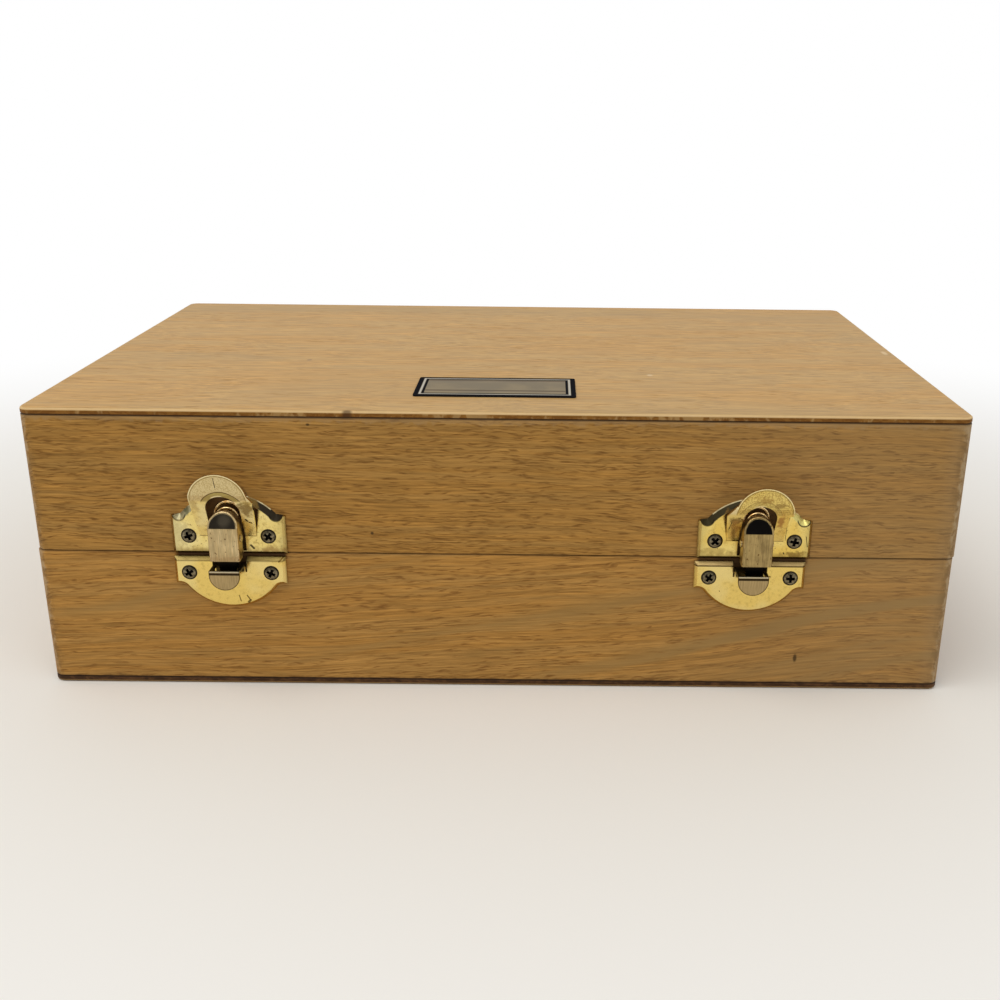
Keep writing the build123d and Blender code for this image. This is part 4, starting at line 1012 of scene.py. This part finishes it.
def lid_pad():
    """Convoluted foam under the lid's panel: rows of rounded peaks in a flat border."""
    low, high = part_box("lid_foam_pad")
    half_x = (high.x - low.x) / 2
    half_y = (high.y - low.y) / 2
    middle_x = (high.x + low.x) / 2
    pitch = PEAK_PITCH * MM
    bm = bmesh.new()
    grid = []
    for j in range(PAD_ROWS + 1):
        row = []
        y = -half_y + 2 * half_y * j / PAD_ROWS
        for i in range(PAD_COLUMNS + 1):
            x = -half_x + 2 * half_x * i / PAD_COLUMNS
            edge = min(half_x - abs(x), half_y - abs(y)) / MM
            wave = math.cos(math.pi * x / pitch) * math.cos(math.pi * y / pitch)
            crest = 0.5 + 0.5 * wave / (0.75 + 0.25 * abs(wave))
            share = smooth_share((edge - BORDER) / 6.0)
            drop = share * (1 - crest) * PEAK_DROP + (1 - share) * BORDER_DROP
            if edge < BORDER:
                drop += BORDER * (1 - math.sqrt(max(0.0, 1 - (1 - edge / BORDER) ** 2)))
            place = Vector((x * 60, y * 60, 3.0))
            drop += 0.35 * (0.5 + vnoise.noise(place)) + 0.15
            row.append(bm.verts.new((middle_x + x, y, low.z + drop * MM)))
        grid.append(row)
    for j in range(PAD_ROWS):
        for i in range(PAD_COLUMNS):
            bm.faces.new((grid[j][i], grid[j + 1][i], grid[j + 1][i + 1], grid[j][i + 1]))
    rim = grid[0] + [row[-1] for row in grid[1:]] + grid[-1][-2::-1] + [row[0] for row in grid[-2:0:-1]]
    top = [bm.verts.new((v.co.x, v.co.y, high.z - 0.05 * MM)) for v in rim]
    join_loops(bm, rim, top)
    bm.faces.new(top)
    bmesh.ops.recalc_face_normals(bm, faces=bm.faces)
    piece = new_mesh("lid_foam", bm)
    for polygon in piece.data.polygons:
        polygon.use_smooth = abs(polygon.normal.z) < 0.999 or polygon.center.z < high.z - MM
    return piece


foam_material = foam_look("charcoal_foam")
tray = foam_tray()
give(tray, foam_material)
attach(tray, "base")
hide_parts("base_foam_tray")
pad = lid_pad()
give(pad, foam_material)
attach(pad, "lid")
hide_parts("lid_foam_pad")


# floor
def seen_directly(tree):
    """1 on rays of the camera, of reflections and through glass, and 0 on scattered light."""
    path = tree.nodes.new("ShaderNodeLightPath")
    total = path.outputs["Is Camera Ray"]
    for name in ("Is Glossy Ray", "Is Transmission Ray"):
        most = tree.nodes.new("ShaderNodeMath")
        most.operation = "MAXIMUM"
        tree.links.new(total, most.inputs[0])
        tree.links.new(path.outputs[name], most.inputs[1])
        total = most.outputs[0]
    return total


# distances from the case between which the floor turns white
FLOOR_WHITE = (110.0, 400.0)


def floor_look():
    """Pale floor that keeps the case's shadow and turns white further away."""
    t = Tree("pale_floor")
    cloudy = t.even_noise(0.004, 2.0)
    plain = t.mix(cloudy, rgb(0.82, 0.82, 0.825), rgb(0.85, 0.85, 0.85))
    seen = seen_directly(t.tree)
    t.set(Base_Color=t.mix(seen, plain, rgb(0.87, 0.84, 0.78)), Roughness=0.7)
    t.set(Specular_IOR_Level=0.1)
    far = t.hypotenuse(t.times(t.x, 0.8), t.y)
    glow = t.node("ShaderNodeEmission", {"Color": rgb(1, 1, 1), "Strength": 1.0})
    shader = t.node("ShaderNodeMixShader", {0: t.times(t.step(far, *FLOOR_WHITE), seen)})
    t.tree.links.new(t.bsdf.outputs[0], shader.inputs[1])
    t.tree.links.new(glow.outputs[0], shader.inputs[2])
    t.tree.links.new(shader.outputs[0], t.tree.nodes["Material Output"].inputs["Surface"])
    return t.material


def flat_grid(name, cells, half):
    """Square grid on its own xy plane, reaching half a side each way."""
    bm = bmesh.new()
    bmesh.ops.create_grid(bm, x_segments=cells, y_segments=cells, size=half)
    return new_mesh(name, bm)


floor = flat_grid("floor", 8, 6.0)
floor.location.z = -0.02 * MM
give(floor, floor_look())

# a dark card behind the camera, seen only in the metal
card = flat_grid("dark_card", 2, 0.5)
card.scale = (3.2, 0.75, 1)
card.rotation_euler = (math.radians(90), 0, 0)
card.location = (0, -1.25, 0.52)
card_t = Tree("dark_card")
card_colour = card_t.mix(card_t.even_noise(0.01), rgb(0.02, 0.018, 0.016), rgb(0.04, 0.036, 0.03))
card_t.set(Base_Color=card_colour, Roughness=0.9)
give(card, card_t.material)
card.visible_camera = False
card.visible_diffuse = False
card.visible_shadow = False

# camera, at the photograph's angle
CAMERA_PLACE = (0.01311, -0.3537, 0.15266)
LENS = 41.555
SHIFT_X = -0.05
PITCH = 0.3414
YAW = -0.0030
ROLL = -0.0114
right = Vector((math.cos(YAW), math.sin(YAW), 0))
ahead = Vector((-math.sin(YAW) * math.cos(PITCH), math.cos(YAW) * math.cos(PITCH), -math.sin(PITCH)))
up = Vector((-math.sin(YAW) * math.sin(PITCH), math.cos(YAW) * math.sin(PITCH), math.cos(PITCH)))
camera = bpy.data.objects.new("camera", bpy.data.cameras.new("camera"))
bpy.context.scene.collection.objects.link(camera)
across = math.cos(ROLL) * right - math.sin(ROLL) * up
upright = math.sin(ROLL) * right + math.cos(ROLL) * up
turn = Matrix((across, upright, -ahead)).transposed().to_4x4()
camera.matrix_world = Matrix.Translation(CAMERA_PLACE) @ turn
camera.data.sensor_width = 36.0
camera.data.lens = LENS
camera.data.shift_x = SHIFT_X
camera.data.clip_start = 0.01
bpy.context.scene.camera = camera

# light: name, place, target, size, watts and colour of each lamp
LAMPS = (
    ("key", (-0.30, -0.35, 1.15), (0, 0, 0.03), (0.9, 0.7), 6.0, (1.0, 0.98, 0.95)),
    ("fill", (0.9, -0.9, 0.8), (0, 0, 0.04), (0.8, 0.8), 1.4, (0.96, 0.98, 1.0)),
)
# strength of the white surroundings as they light the case, and as they are seen
AMBIENT = 0.58
SEEN = 1.0


def area(name, place, target, size, watts, colour):
    """Rectangular lamp that faces its target."""
    lamp = bpy.data.lights.new(name, "AREA")
    lamp.shape = "RECTANGLE"
    lamp.size = size[0]
    lamp.size_y = size[1]
    lamp.energy = watts
    lamp.color = colour
    lit = bpy.data.objects.new(name, lamp)
    bpy.context.scene.collection.objects.link(lit)
    lit.location = place
    lit.rotation_mode = "QUATERNION"
    lit.rotation_quaternion = (Vector(target) - Vector(place)).to_track_quat("-Z", "Y")


for settings in LAMPS:
    area(*settings)

world = bpy.data.worlds.new("studio")
bpy.context.scene.world = world
world.use_nodes = True
tree = world.node_tree
strength = tree.nodes.new("ShaderNodeMapRange")
tree.links.new(seen_directly(tree), strength.inputs["Value"])
strength.inputs["To Min"].default_value = AMBIENT
strength.inputs["To Max"].default_value = SEEN
background = tree.nodes["Background"]
background.inputs["Color"].default_value = rgb(1, 1, 1)
tree.links.new(strength.outputs[0], background.inputs["Strength"])

bpy.context.scene.view_settings.view_transform = "Standard"
